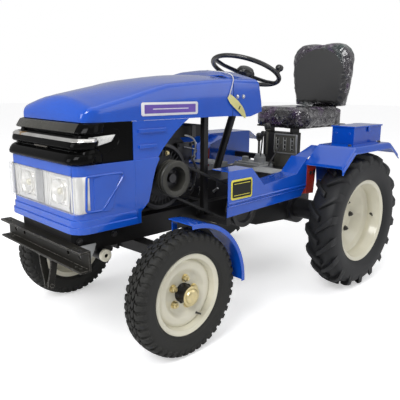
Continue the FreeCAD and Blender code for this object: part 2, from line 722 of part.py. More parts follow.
def belt_loop(run, drop, small, large):
    """Flat band round two circles: small at the origin, large at run along and drop below."""
    width = 9
    span = math.hypot(run, drop)
    lean = math.asin((large - small) / span)
    heading = math.atan2(-drop, run)
    wires = []
    for offset in (-11.7, -3):
        tangents = []
        for sign in (1, -1):
            angle = heading + sign * (math.pi / 2 + lean)
            for centre, radius in (((0, 0), small), ((run, -drop), large)):
                radius += offset
                tangents.append(FreeCAD.Vector(-width / 2, centre[0] + radius * math.cos(angle),
                                               centre[1] + radius * math.sin(angle)))
        upper_a, upper_b, lower_a, lower_b = tangents
        back = heading + math.pi
        far_a = FreeCAD.Vector(-width / 2, (small + offset) * math.cos(back),
                               (small + offset) * math.sin(back))
        far_b = FreeCAD.Vector(-width / 2, run + (large + offset) * math.cos(heading),
                               -drop + (large + offset) * math.sin(heading))
        wires.append(Part.Wire([
            Part.LineSegment(upper_a, upper_b).toShape(),
            Part.Arc(upper_b, far_b, lower_b).toShape(),
            Part.LineSegment(lower_b, lower_a).toShape(),
            Part.Arc(lower_a, far_a, upper_a).toShape()]))
    faces = [Part.Face(wire) for wire in wires]
    band = faces[1].cut(faces[0])
    solid = band.extrude(FreeCAD.Vector(width, 0, 0))
    return solid.Solids[0]


def engine():
    """Single-cylinder engine: crankcase, head, tank, flywheel and drive pulley."""
    x0 = D.engine_x - D.engine_half
    x1 = D.engine_x + D.engine_half
    y0 = FRONT - D.engine_front
    y1 = FRONT + D.engine_rear
    case = prism("crankcase", "yz",
                 [(y0, D.frame_top), (y1, D.frame_top), (y1, D.engine_top - 60), (y1 - 60, D.engine_top),
                  (y0 + 60, D.engine_top), (y0, D.engine_top - 90)], x0, x1)
    feet = block("engine_feet", (x0 - 50, x1 + 16), (y0 + 20, y1 - 20), (D.frame_top, D.frame_top + 16))
    bearing = rod("crank_bearing", "x", x1, x1 + 22, (FRONT + D.crank_y, D.crank_z), 60)
    shaft = rod("crankshaft", "x", x1, BELT_X, (FRONT + D.crank_y, D.crank_z), 20)
    head = block("engine_head", (x0 + 20, x1 - 20), (y0 - 90, y0), (D.frame_top + 40, D.engine_top - 60))
    piece("engine_block", fuse("engine_union", case, feet, bearing, shaft, head))
    tank = block("fuel_tank_box", (x0 - 30, x1 + 40), (y0 + 60, y1 + 60),
                 (D.engine_top, D.engine_top + D.tank_height))
    piece("fuel_tank", tank)
    wheel_x = x1 + 22
    flywheel = turned("flywheel_spun", [(0, 24), (0, D.flywheel_radius),
                                        (D.flywheel_width, D.flywheel_radius),
                                        (D.flywheel_width, D.flywheel_radius - 18), (20,
                                                                                     D.flywheel_radius - 30),
                                        (20, 24)],
                      (wheel_x, FRONT + D.crank_y, D.crank_z))
    piece("flywheel", flywheel)
    half = D.pulley_width / 2
    rim = D.drive_pulley_radius
    profile = [(-half, 20), (-half, rim)]
    profile += groove_points(half, rim, 2)
    profile += [(half, rim), (half, rim - 22), (8 - half, rim - 30), (8 - half, 34), (18 - half, 34),
                (18 - half, 20)]
    pulley = turned("drive_pulley_spun", profile, (BELT_X, FRONT + D.crank_y, D.crank_z))
    piece("drive_pulley", pulley)


def radiator():
    """Radiator core standing on the frame behind the grille."""
    y = FRONT - D.radiator_ahead
    core = block("radiator_core", (-D.radiator_half, D.radiator_half), (y, y + D.radiator_depth),
                 (D.frame_top, D.grille_top - 30))
    piece("radiator", core)


def exhaust():
    """Silencer on the right of the engine, with its outlet pointing down."""
    x0 = D.engine_x - D.engine_half
    y = FRONT + 130
    z = D.frame_top + 110
    can = rod("silencer_can", "x", x0 - 75, x0, (y, z), 32)
    piece("exhaust_silencer", can)


# ---------------------------------------------------------------- bodywork

def plan_u(inset):
    """U-shaped outline of the nose in plan, its front corners rounded, open at the seam."""
    half = D.body_half - inset
    front = FRONT - D.nose_front + inset
    radius = D.nose_corner - inset
    right = arc(half - radius, front + radius, radius, 0, -90)
    left = [(-x, y) for x, y in reversed(right)]
    return half, right + left


def nose_shell(name, outward, thick, low, high):
    """Shell that wraps the nose between two heights, standing outward of the body's side."""
    seam = FRONT - D.seam_y
    half, curve = plan_u(-size(outward))
    outer = prism(name + "_outer", "xy", [(half, seam)] + curve + [(-half, seam)], low, high)
    half, curve = plan_u(size(thick) - outward)
    inner = prism(name + "_inner", "xy", [(half, seam + 1)] + curve + [(-half, seam + 1)],
                  size(low) - 1, size(high) + 1)
    return cut(name + "_shell", outer, inner)


def nose_cowl():
    """Lower nose: a wrap-round shell with the lamp window, a ledge on top and a stepped foot."""
    wall = D.sheet_gauge
    flare = D.body_flare
    low = D.frame_top
    ledge_low = D.nose_top - D.ledge_height
    shell = nose_shell("nose", flare, wall, low, ledge_low)
    foot = nose_shell("nose_foot", flare + 12, wall + 12, low, low + 26)
    step = nose_shell("nose_step", flare + 6, wall + 6, low + 26, low + 52)
    ledge = nose_shell("nose_ledge", flare, flare + 14, ledge_low, D.nose_top)
    front = FRONT - D.nose_front
    side = D.body_half + flare
    badge = prism("side_emboss", "yz",
                  [(front + 66, low + 78), (front + 66, D.lamp_high - 12), (front + 168, D.lamp_high + 4),
                   (front + 180, D.lamp_high - 10), (front + 148, low + 84), (front + 132, low + 74)],
                  side, side + 4)
    whole = fuse("nose_union", shell, foot, step, ledge, badge, mirrored("side_emboss_right", badge))
    window = block("lamp_window", (-D.lamp_half, D.lamp_half), (front - 40, front + 60),
                   (D.lamp_low, D.lamp_high))
    piece("nose_cowl", cut("nose_cut", whole, window))


def headlamps():
    """Lamp panel that fills the nose's window, and a slim side lamp at each corner of the mask."""
    gap = D.seat_gap
    front = FRONT - D.nose_front
    unit = block("lamp_box", (-D.lamp_half + gap, D.lamp_half - gap), (front - D.body_flare - 4, front + 58),
                 (D.lamp_low + gap, D.lamp_high - gap))
    side = D.body_half
    slim = prism("side_lamp_left", "yz",
                 [(front + 74, D.nose_top + 62), (front + 144, D.nose_top + 84),
                  (front + 156, D.nose_top + 104),
                  (front + 80, D.nose_top + 92)], side - D.seat_gap, side + 6)
    lamps = DOC.addObject("Part::Compound", "lamp_set")
    lamps.Links = [unit, slim, mirrored("side_lamp_right", slim)]
    piece("headlamp_unit", lamps)


def grille_mask():
    """Black mask above the nose: slotted front, two blades that wrap the corners, and a lip below."""
    low = D.nose_top
    shell = nose_shell("mask", 0 - D.seat_gap, 16, low, D.grille_top - D.seat_gap)
    front = FRONT - D.nose_front
    half = D.body_half - 60
    slots = []
    for number in range(3):
        base = low + 30 + number * 36
        slots.append(block("mask_slot_%d" % number, (-half, half), (front - 5, front + 30),
                           (base, base + 22)))
    mask = cut("mask_slotted", shell, *slots)
    fore = block("mask_fore", (-2 * half, 2 * half), (front - 40, front + 70), (low - 10, D.grille_top + 10))
    wraps = []
    for name, rise, deep, out in (("lip", 0, 30, 12), ("middle", 76, 14, 17), ("top", 118, 16, 10)):
        wrap = nose_shell("mask_" + name, out, out + 8, low + rise, low + rise + deep)
        wraps.append(common("mask_%s_cut" % name, wrap, fore))
    piece("grille_mask", fuse("mask_union", mask, *wraps))


def hood_section(half, base, shoulder, crown, radius=24):
    """Cross-section of the hood: upright sides, rounded shoulders, crowned top."""
    right = [(half, base)] + arc(half - radius, shoulder - radius, radius, 0, 75)
    right.append((half * 0.5, crown - (crown - shoulder) * 0.2 - 2))
    left = [(-x, z) for x, z in reversed(right)]
    return right + [(size(0), crown)] + left


def hood_loft(name, inset, base):
    """Hood form through its sections, shrunk by an inset for the inside."""
    rear = FRONT + D.hood_rear
    front = FRONT - D.nose_front
    stations = [
        (front + inset, 62, 168, 156, 12),
        (front + 12 + inset, 36, 152, 136, 20),
        (front + 36 + inset, 15, 143, 120, 24),
        (front + 104, 3, 130, 82, 24),
        (front + 250, 0, 94, 31, 24),
        (front + 445, 0, 46, 5, 24),
        (rear, 0, 20, 0, 24),
    ]
    sections = []
    for along, tuck, shoulder_drop, crown_drop, radius in stations:
        half = D.body_half - tuck - inset
        shoulder = D.hood_top - shoulder_drop - inset
        crown = D.hood_top - crown_drop - inset
        sections.append((along, hood_section(half, base, shoulder, crown, radius)))
    return sections


def hood():
    """Lifting hood: a crowned sheet shell, open below."""
    gap = D.sheet_gauge
    outer = loft("hood_outer", hood_loft("outer", 0, D.grille_top))
    inner = loft("hood_inner", hood_loft("inner", D.sheet_gauge, D.grille_top - gap))
    shell = cut("hood_shell", outer, inner)
    piece("hood", shell)


def dash_cowl():
    """Fixed cowl behind the hood: a humped shell that the steering column passes through."""
    front = FRONT + D.cowl_front
    half = D.body_half
    wall = D.sheet_gauge
    low = D.grille_top
    high = D.hood_top
    section = prism("cowl_section", "xz", hood_section(half, low - 20, high - 20, high + 26), front,
                    front + 260)
    side = [(front, low), (front + 100, low - 7), (front + 128, low - 6), (front + 212, low + 16),
            (front + 206, low + 60), (front + 184, high - 44), (front + 160, high - 2), (front + 110,
                                                                                         high + 22),
            (front + 64, high + 23), (front + 28, high + 11), (front, high - 4)]
    outer = common("cowl_outer", section, prism("cowl_profile", "yz", side, -half, half))
    inner_section = prism("cowl_inner_section", "xz",
                          hood_section(half - wall, low - 40, high - 20 - wall, high + 26 - wall),
                          front - 1, front + 260)
    inner_side = [(front - 1, low - 30), (front + 118, low - 30), (front + 206, low + 20),
                  (front + 201, low + 60), (front + 180, high - 46), (front + 157, high - 6),
                  (front + 109, high + 22 - wall), (front + 63, high + 23 - wall), (front + 27,
                                                                                    high + 11 - wall),
                  (front - 1, high - 4 - wall)]
    inner = common("cowl_inner", inner_section, prism("cowl_inner_profile", "yz", inner_side, -half, half))
    tilt = FreeCAD.Rotation(FreeCAD.Vector(1, 0, 0), -D.steer_tilt.value)
    hole = DOC.addObject("Part::Cylinder", "column_hole")
    bind(hole, "Radius", D.column_radius + D.running_gap)
    bind(hole, "Height", D.steer_radius * 2)
    place(hole, 0, FRONT + D.steer_y - sine(D.steer_tilt) * D.steer_radius * 2,
          D.steer_z - cosine(D.steer_tilt) * D.steer_radius * 2, tilt)
    piece("dash_cowl", cut("cowl_cut", outer, inner, hole))


def side_panels():
    """Side panel behind the nose: flared below its ledge, swept at the rear, with raised louvres."""
    side = D.body_half
    wall = D.sheet_gauge
    seam = FRONT - D.seam_y
    base = D.frame_top
    ledge = D.nose_top - D.ledge_height
    top = D.grille_top - D.seat_gap
    lower = prism("side_lower", "yz",
                  [(seam, base), (seam, ledge), (FRONT + 28, ledge), (FRONT + 14, ledge - 26),
                   (FRONT, ledge - 70), (FRONT - 12, ledge - 116), (FRONT - 26, ledge - 164),
                   (FRONT - 44, base + 62), (FRONT - 66, base + 44), (FRONT - 66, base)],
                  side + D.body_flare - wall, side + D.body_flare)
    shelf = block("side_ledge", (side - wall, side + D.body_flare), (seam, FRONT + 32), (ledge, D.nose_top))
    upper = prism("side_upper", "yz",
                  [(seam, D.nose_top), (seam, top), (FRONT + D.arch_reach, top), (FRONT + 168, top - 24),
                   (FRONT + 130, top - 52), (FRONT + 92, top - 86), (FRONT + 60, top - 118),
                   (FRONT + 34, D.nose_top)], side - wall, side)
    louvres = []
    for number, (rise, reach) in enumerate(((42, 88), (104, 140))):
        louvres.append(block("louvre_%d" % number, (side, side + 8), (seam + 26, seam + 26 + reach),
                             (D.nose_top + rise, D.nose_top + rise + 14)))
    foot = block("side_foot", (D.rail_half_gap + D.rail_width, side + D.body_flare), (seam, FRONT - 66),
                 (base - wall, base))
    twins("side_panels", fuse("side_union", lower, shelf, upper, *louvres, foot))


def posts():
    """Square upright posts, with bars back to the shelf that carries the cowl."""
    side = D.outrigger_deep
    outer = D.body_half - 14
    xs = (outer - side, outer)
    foot_y = FRONT + D.post_y
    cowl_y = FRONT + D.cowl_front
    top = D.grille_top + side
    upright = block("post_upright", xs, (foot_y, foot_y + side), (D.frame_top, top))
    foot = block("post_foot", xs, (foot_y, foot_y + side), (D.frame_top - D.outrigger_drop, D.frame_top))
    rail = block("post_rail", xs, (foot_y, cowl_y + 90), (D.grille_top, top))
    one = fuse("post_left", upright, rail)
    bar = block("post_bar", (-outer, outer), (foot_y, foot_y + side), (D.grille_top, top))
    shelf = block("cowl_shelf", (D.sheet_gauge - D.body_half, D.body_half - D.sheet_gauge),
                  (cowl_y + 3, cowl_y + 90), (D.grille_top, D.grille_top + D.sheet_gauge))
    piece("cowl_posts", fuse("post_union", one, foot, mirrored("post_right", one), bar, shelf))


def step_panels():
    """Foot-board: raised front box, floor, rise to the fender, and a side with a folded crease."""
    y0 = FRONT + D.step_front
    y1 = y0 + D.step_back
    wall = D.sheet_gauge
    outer = FENDER_INNER
    dip = y0 + 252
    rise = y1 - 90
    crease = D.step_low + D.step_crease
    top_line = [(y0, D.step_top), (y0 + 160, D.step_top), (dip, D.step_floor - 23), (rise, D.step_floor),
                (y1 - 8, D.step_floor + 73), (y1, D.step_floor + 76)]
    side = prism("step_side", "yz", [(y0, crease), (y1, crease + 10)] + list(reversed(top_line)),
                 outer - wall, outer)
    fold = prism("step_fold", "yz", [(y0, D.step_low), (y1 - 40, D.step_low + 16), (y1, crease + 10),
                                     (y0, crease)],
                 outer - wall - D.fold_inset, outer - D.fold_inset)
    under = [(y, z - wall) for y, z in reversed(top_line)]
    top = prism("step_top_sheet", "yz", top_line + under, STEP_INNER, outer)
    tongue = prism("step_tongue", "yz",
                   [(y1, D.step_floor + 76), (y1 + 150, D.deck_z - 14), (y1 + 150, D.deck_z - 14 - wall),
                    (y1, D.step_floor + 76 - wall)], STEP_INNER + 20, outer - D.seat_gap)
    twins("step_panels", fuse("step_union", side, fold, top, tongue))


def outriggers():
    """Brackets from the rails to the steps; the left front one passes under the belts."""
    rail = D.rail_half_gap + D.rail_width
    reach = FENDER_INNER - D.sheet_gauge - D.fold_inset
    deep = D.outrigger_deep
    low = D.frame_top - D.outrigger_drop - deep
    right_front = block("outrigger_right_front", (-reach, -rail), (FRONT + D.post_y, FRONT + D.post_y + deep),
                        (D.frame_top - deep, D.frame_top))
    left_front = block("outrigger_left_front", (rail, reach), (FRONT + D.post_y, FRONT + D.post_y + deep),
                       (low, low + deep))
    tab = block("outrigger_tab", (reach - 8, reach), (FRONT + D.post_y, FRONT + D.post_y + deep),
                (low, D.frame_top))
    rear = block("outrigger_left_rear", (rail, reach), (FRONT + D.step_bar_y, FRONT + D.step_bar_y + deep),
                 (D.frame_top - deep, D.frame_top))
    return [right_front, left_front, tab, rear, mirrored("outrigger_right_rear", rear)]


def foot_plates():
    """Plate beside the gearbox, flush with the step, on a leg from the gearbox top."""
    ys = (FRONT + D.foot_plate_y, FRONT + D.foot_plate_y + D.foot_plate_length)
    inner = D.rail_half_gap - 30
    plate = block("foot_sheet", (inner, STEP_INNER), ys, (D.step_floor - D.sheet_gauge, D.step_floor))
    leg = block("foot_leg", (inner, inner + 24), ys, (D.gearbox_top, D.step_floor - D.sheet_gauge))
    twins("foot_plates", fuse("foot_union", plate, leg))


def fenders():
    """Folded rear fender: slanted front, flat deck, slanted tail, skirt, flange and inner wall."""
    wall = D.sheet_gauge
    y_front = REAR - D.deck_ahead
    y_rear = REAR + D.deck_behind
    top = D.deck_z
    edge = D.fender_outer - D.fender_flange
    ridge = [(y_front - 105, top - 85), (y_front, top), (y_rear, top), (y_rear + 100, top - 65)]
    drop = D.skirt_depth

    def band(name, low, high, start, end):
        """Sheet that follows the ridge between two depths below it."""
        points = [(y, z - low) for y, z in ridge] + [(y, z - high) for y, z in reversed(ridge)]
        return prism(name, "yz", points, start, end)

    deck = band("fender_deck", 0, wall, FENDER_INNER, edge)
    skirt = band("fender_skirt", 0, drop, edge - wall, edge)
    flange = band("fender_flange", drop - wall, drop, edge - wall, D.fender_outer)
    front_lip = prism("fender_front_lip", "yz",
                      [(y_front - 105, top - 85), (y_front - 101, top - 85), (y_front - 101, top - 97),
                       (y_front - 105, top - 97)], FENDER_INNER, edge)
    inner = prism("fender_inner_wall", "yz",
                  [(y_front, D.inner_wall_low), (y_front - 30, top - 26), (y_front, top - wall),
                   (y_rear, top - wall), (y_rear, D.inner_wall_low)], FENDER_INNER, FENDER_INNER + wall)
    twins("rear_fenders", fuse("fender_union", deck, skirt, flange, front_lip, inner))


def toolbox():
    """Lidded box on the left fender."""
    wall = D.sheet_gauge
    x = (FENDER_INNER, FENDER_INNER + D.toolbox_width)
    y = (REAR - D.toolbox_ahead, REAR - D.toolbox_ahead + D.toolbox_length)
    z = (D.deck_z, D.deck_z + D.toolbox_height)
    outer = block("box_outer", x, y, z)
    inner = block("box_inner", (x[0] + wall, x[1] - wall), (y[0] + wall, y[1] - wall),
                  (z[0] + wall, z[1] + 1))
    piece("toolbox", cut("toolbox_cut", outer, inner))
    low = z[1] + D.seat_gap
    lid = block("lid_sheet", (x[0] - 5, x[1] + 5), (y[0] - 5, y[1] + 5), (low, low + 8))
    piece("toolbox_lid", lid)


def seat():
    """Cushion and back on a bracket that stands on the gearbox and braces the fenders."""
    half = D.seat_half
    rear = TAIL - D.back_thick - 12
    front = REAR - D.seat_ahead
    corner = D.seat_corner
    right = arc(half - corner, front + corner, corner, 0, -90)
    plan = [(half, rear)] + right + [(-x, y) for x, y in reversed(right)] + [(-half, rear)]
    piece("seat_cushion", prism("cushion_pad", "xy", plan, D.seat_under, D.seat_under + D.seat_thick))
    low = D.back_low + D.seat_gap
    high = D.back_top
    broad = half + D.back_flare
    dome = arc(broad - corner * 1.2, high - corner * 1.2, corner * 1.2, 0, 90)
    right = [(half - 18, low), (half + 16, low + 110), (broad, low + 220)] + dome
    face = right + [(-x, z) for x, z in reversed(right)]
    piece("seat_back", prism("back_pad", "xz", face, TAIL - D.back_thick, TAIL - D.strap_gauge - D.seat_gap))
    stand_y = (front + 40, REAR + D.gearbox_tail - 60)
    stand = block("stand_box", (-110, 110), stand_y, (D.gearbox_top, D.seat_under - 40))
    tray = block("stand_tray", (-165, 165), (front + 40, TAIL), (D.seat_under - D.strap_gauge, D.seat_under))
    ribs = [block("stand_rib_%d" % number, (x, x + 12), stand_y, (D.seat_under - 41, D.seat_under))
            for number, x in enumerate((-98, 86))]
    upright = block("back_strap", (-90, 90), (TAIL - D.strap_gauge, TAIL), (D.seat_under, high - 110))
    bar = block("fender_bar", (-FENDER_INNER, FENDER_INNER), (front + 100, front + 136),
                (D.gearbox_top, D.gearbox_top + 32))
    piece("seat_stand", fuse("seat_stand_union", stand, tray, *ribs, upright, bar))


def shift_gate():
    """Slotted gate ahead of the seat, with two gear levers and a throttle rod."""
    y = REAR - D.gate_ahead
    low = D.gearbox_top
    high = D.gate_top
    across = (D.gate_left - D.gate_right) / 3
    plate = block("gate_plate", (D.gate_right, D.gate_left), (y, y + 6), (low, high))
    slots = [block("gate_slot_%d" % number, (D.gate_right + 14 + across * number,
                                             D.gate_right + 30 + across * number),
                   (y - 1, y + 7), (high - 92, high - 22)) for number in range(3)]
    gate = cut("gate_cut", plate, *slots)
    levers = []
    for number, (x, top) in enumerate(((D.gate_right - 25, high + 20), (D.gate_right - 85, high - 40))):
        foot = (x, y - 40)
        levers.append(rod("lever_%d" % number, "z", low, top, foot, 7))
        levers.append(rod("lever_knob_%d" % number, "z", top, top + 34, foot, 16))
    base = block("lever_base", (D.gate_right - 115, D.gate_right + 10), (y - 62, y + 6), (low, low + 22))
    piece("shift_gate", fuse("gate_union", gate, base, *levers))


def mudguards():
    """Curved guard over each front tyre on a strap from the knuckle, cut back to clear the link."""
    centre = FRONT
    wall = D.sheet_gauge
    inner = (D.front_track - D.front_tyre_width) / 2 - D.guard_inset
    outer = (D.front_track + D.front_tyre_width) / 2 + 20
    radius = D.front_tyre_radius + D.guard_gap
    spot = (centre, D.front_tyre_radius)
    ring = rod("guard_ring", "x", inner, outer, spot, radius + wall)
    hollow = rod("guard_hollow", "x", inner - 1, outer + 1, spot, radius)
    hem = rod("guard_hem", "x", outer - wall, outer, spot, radius + wall)
    hem_hollow = rod("guard_hem_hollow", "x", outer - wall - 1, outer + 1, spot, radius - 14)
    sector = prism("guard_sector", "yz",
                   [(centre, D.front_tyre_radius), (centre - 20, D.front_tyre_radius + 400),
                    (centre + 400, D.front_tyre_radius + 400), (centre + 400, D.front_tyre_radius - 10)],
                   inner - 2, outer + 2)
    sheet = fuse("guard_sheet", cut("guard_tube", ring, hollow), cut("guard_edge", hem, hem_hollow))
    relief = prism("guard_relief", "xy",
                   [(inner - 2, centre + 60), (inner + 14, centre + 170), (inner + 14, centre + 400),
                    (inner - 2, centre + 400)],
                   0, D.front_tyre_radius + 400)
    guard = cut("guard_relieved", common("guard_arc", sheet, sector), relief)
    low = D.beam_top + 34
    strut = block("guard_strut", (D.kingpin_half + D.kingpin_radius, inner + 6), (centre + 2, centre + 28),
                  (low, low + 6))
    strap = block("guard_strap", (inner, inner + 6), (centre + 2, centre + 28),
                  (low, D.front_tyre_radius + radius))
    pair("front_mudguard", fuse("mudguard_union", guard, strut, strap))


def stays():
    """Plate stay between the step and the rear fender, with a tab inside the step."""
    y = FRONT + D.step_front + D.step_back + D.seat_gap
    outer = FENDER_INNER - D.seat_gap
    tab_outer = outer - D.sheet_gauge - D.fold_inset
    low = D.step_low + 26
    stay = prism("stay_plate", "yz", [(y, low), (y + D.stay_length - 14, low - 6),
                                      (y + D.stay_length, D.deck_z - 120),
                                      (y + D.stay_length, D.deck_z - 90), (y, D.deck_z - 70)],
                 outer - D.stay_gauge, outer)
    tab = block("stay_tab", (tab_outer - D.stay_gauge, tab_outer), (y - 20, y + 30), (low, low + 26))
    twins("fender_stays", fuse("stay_union", stay, tab))


def drawbar():
    """Hitch plate with a pin hole on the gearbox's tail."""
    y = REAR + D.gearbox_tail
    z = D.gearbox_bottom + 60
    gauge = D.plate_gauge * 2
    reach = D.drawbar_reach
    plate = block("drawbar_plate", (-45, 45), (y, y + reach), (z, z + gauge))
    root = block("drawbar_root", (-80, 80), (y, y + gauge), (z - 40, z + 60))
    hole = rod("drawbar_hole", "z", z - 1, z + gauge + 1, (0, y + reach - 35), D.pin_radius)
    piece("drawbar", cut("drawbar_cut", fuse("drawbar_union", plate, root), hole))


def build():
    """Make every piece."""
    for make in (frame_rails, front_channel, front_axle, knuckles, tie_rod,
                 drag_link, pitman_arm, steering_column, steering_wheel, front_wheel,
                 rear_wheel, gearbox, clutch_pulley, drive_belts, engine, radiator, exhaust, nose_cowl,
                 headlamps, grille_mask, hood, dash_cowl, side_panels, posts, step_panels, 
                 foot_plates, fenders, toolbox, seat, shift_gate, mudguards, stays, drawbar):
        make()
    DOC.recompute()


def check():
    """Stop if any object failed or any piece is empty or invalid."""
    for thing in DOC.Objects:
        if "Invalid" in thing.State or "Error" in thing.State:
            raise RuntimeError("failed: %s %s" % (thing.Name, thing.State))
    for solid in PIECES:
        if solid.Shape.isNull() or not solid.Shape.isValid():
            raise RuntimeError("bad shape: " + solid.Label)


def export():
    """Write each piece to its own STEP file."""
    os.makedirs("parts", exist_ok=True)
    for solid in PIECES:
        solid.Shape.exportStep("parts/%s.step" % solid.Label)


build()
check()
export()
for solid in PIECES:
    box = solid.Shape.BoundBox
    print("%-20s solids %d volume %.0f x %.0f..%.0f y %.0f..%.0f z %.0f..%.0f" % (
        solid.Label, len(solid.Shape.Solids), solid.Shape.Volume,
        box.XMin, box.XMax, box.YMin, box.YMax, box.ZMin, box.ZMax))
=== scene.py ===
"""Dresses the compact tractor: procedural finishes on its solids, and detailed pieces for some of them."""

import json
import logging
import math
from dataclasses import dataclass, field
from enum import Enum
from typing import Callable, Iterable, Sequence

import bmesh
import bpy
from mathutils import Matrix, Vector

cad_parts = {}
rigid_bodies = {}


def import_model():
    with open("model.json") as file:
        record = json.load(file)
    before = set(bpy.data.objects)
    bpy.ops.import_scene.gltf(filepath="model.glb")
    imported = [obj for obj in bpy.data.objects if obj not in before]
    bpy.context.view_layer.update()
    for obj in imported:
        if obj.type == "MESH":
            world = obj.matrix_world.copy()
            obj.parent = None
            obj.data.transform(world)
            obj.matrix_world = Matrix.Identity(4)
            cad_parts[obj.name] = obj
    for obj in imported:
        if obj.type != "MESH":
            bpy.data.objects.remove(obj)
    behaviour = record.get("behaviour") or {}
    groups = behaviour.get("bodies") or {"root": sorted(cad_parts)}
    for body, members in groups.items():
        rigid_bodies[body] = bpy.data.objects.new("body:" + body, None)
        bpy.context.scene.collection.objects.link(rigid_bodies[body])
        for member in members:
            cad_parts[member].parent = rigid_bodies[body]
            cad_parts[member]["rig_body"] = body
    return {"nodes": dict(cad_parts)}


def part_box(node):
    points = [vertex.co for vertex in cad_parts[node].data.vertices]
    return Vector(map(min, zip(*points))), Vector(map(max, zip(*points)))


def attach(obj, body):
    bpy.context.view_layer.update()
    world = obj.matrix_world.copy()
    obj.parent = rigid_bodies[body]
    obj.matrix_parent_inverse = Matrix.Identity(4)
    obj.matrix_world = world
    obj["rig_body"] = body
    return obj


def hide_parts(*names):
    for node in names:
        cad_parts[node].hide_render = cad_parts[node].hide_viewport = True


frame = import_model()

LOG = logging.getLogger("tractor")
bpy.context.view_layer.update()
Colour = tuple[float, float, float]
Point = tuple[float, float, float]
Pair = tuple[float, float]
Rows = tuple[tuple[float, ...], ...]
Shape = bmesh.types.BMesh
Vert = bmesh.types.BMVert
Socket = bpy.types.NodeSocket
MERGE = 1e-5  # points nearer than this are one
ACROSS = Vector((1, 0, 0))
ALONG = Vector((0, 1, 0))
UP = Vector((0, 0, 1))
FIRM = 36.0  # least turn of an edge that stays sharp, in degrees
SOFT = 40.0


class Side(Enum):
    """The tractor's own two sides, with the sign of X on each."""

    LEFT = 1
    RIGHT = -1

    @property
    def word(self) -> str:
        """The side's name in lower case, as node names have it."""
        return self.name.lower()


# ---------------------------------------------------------------- node graphs


class Graph:
    """Adds and links the nodes of one node tree."""

    def __init__(self, tree: bpy.types.NodeTree) -> None:
        """Keeps the tree that nodes are added to.

        Args:
            tree: A material's or a group's node tree.
        """
        self.tree = tree

    def node(self, kind: str, sockets: dict | None = None, **settings: object) -> bpy.types.Node:
        """Adds a node.

        Args:
            kind: Blender's type name of the node.
            sockets: Values or outputs for its inputs, by name or number.
            settings: Values for the node's own properties.

        Returns:
            The new node.
        """
        made = self.tree.nodes.new(kind)
        for key, value in settings.items():
            setattr(made, key, value)
        for key, value in (sockets or {}).items():
            if isinstance(value, Socket):
                self.tree.links.new(value, made.inputs[key])
            else:
                made.inputs[key].default_value = value
        return made

    def math(self, operation: str, first: object, second: object = 0.0, clamp: bool = False) -> Socket:
        """One Math node.

        Args:
            operation: The node's operation.
            first: Its first value or socket.
            second: Its second value or socket.
            clamp: Whether the result is kept from 0 to 1.

        Returns:
            The result's socket.
        """
        return self.node("ShaderNodeMath", {0: first, 1: second}, operation=operation,
            use_clamp=clamp).outputs[0]

    def mix(self, share: object, first: object, second: object) -> Socket:
        """Mixes two colours.

        Args:
            share: How much of the second colour shows.
            first: A colour or a socket.
            second: A colour or a socket.

        Returns:
            The mixed colour's socket.
        """
        first, second = (opaque(c) if isinstance(c, tuple) else c for c in (first, second))
        made = self.node("ShaderNodeMix", {0: share, 6: first, 7: second}, data_type="RGBA")
        return made.outputs[2]

    def spread(self, value: object, low: float, high: float, to_low: float = 0.0,
            to_high: float = 1.0,) -> Socket:
        """Maps a range of values to another, and keeps the result inside it.

        Args:
            value: The socket to map.
            low: The value that gives to_low.
            high: The value that gives to_high.
            to_low: The result at low.
            to_high: The result at high.

        Returns:
            The mapped value's socket.
        """
        made = self.node("ShaderNodeMapRange", {0: value, 1: low, 2: high, 3: to_low, 4: to_high})
        return made.outputs[0]

    def noise(self, scale: object, detail: float = 3.0, rough: float = 0.55, distort: float = 0.0,
            place: object = None) -> Socket:
        """Noise over the object's own coordinates.

        Args:
            scale: The noise's scale, per metre.
            detail: Its octaves.
            rough: How strong the fine octaves are.
            distort: How much it is warped.
            place: The coordinates' socket, where they aren't the object's.

        Returns:
            The noise value's socket.
        """
        where = place or self.node("ShaderNodeTexCoord").outputs["Object"]
        made = self.node("ShaderNodeTexNoise", {"Vector": where, "Scale": scale, "Detail": detail,
            "Roughness": rough, "Distortion": distort})
        return made.outputs[0]


def opaque(colour: Sequence[float]) -> tuple[float, float, float, float]:
    """A colour with full alpha."""
    return (colour[0], colour[1], colour[2], 1.0)


def shared_group(name: str, inputs: dict[str, float], outputs: Sequence[str],
        fill: Callable[[Graph, bpy.types.Node, bpy.types.Node], None]) -> bpy.types.NodeTree:
    """A shader node group of number sockets, made once.

    Args:
        name: The group's name.
        inputs: The input sockets' names and usual values.
        outputs: The output sockets' names.
        fill: Adds the nodes between the group's input and output nodes.

    Returns:
        The group.
    """
    if name in bpy.data.node_groups:
        return bpy.data.node_groups[name]
    tree = bpy.data.node_groups.new(name, "ShaderNodeTree")
    for label, usual in inputs.items():
        tree.interface.new_socket(label, in_out="INPUT", socket_type="NodeSocketFloat").default_value = usual
    for label in outputs:
        tree.interface.new_socket(label, in_out="OUTPUT", socket_type="NodeSocketFloat")
    graph = Graph(tree)
    fill(graph, graph.node("NodeGroupInput"), graph.node("NodeGroupOutput"))
    return tree


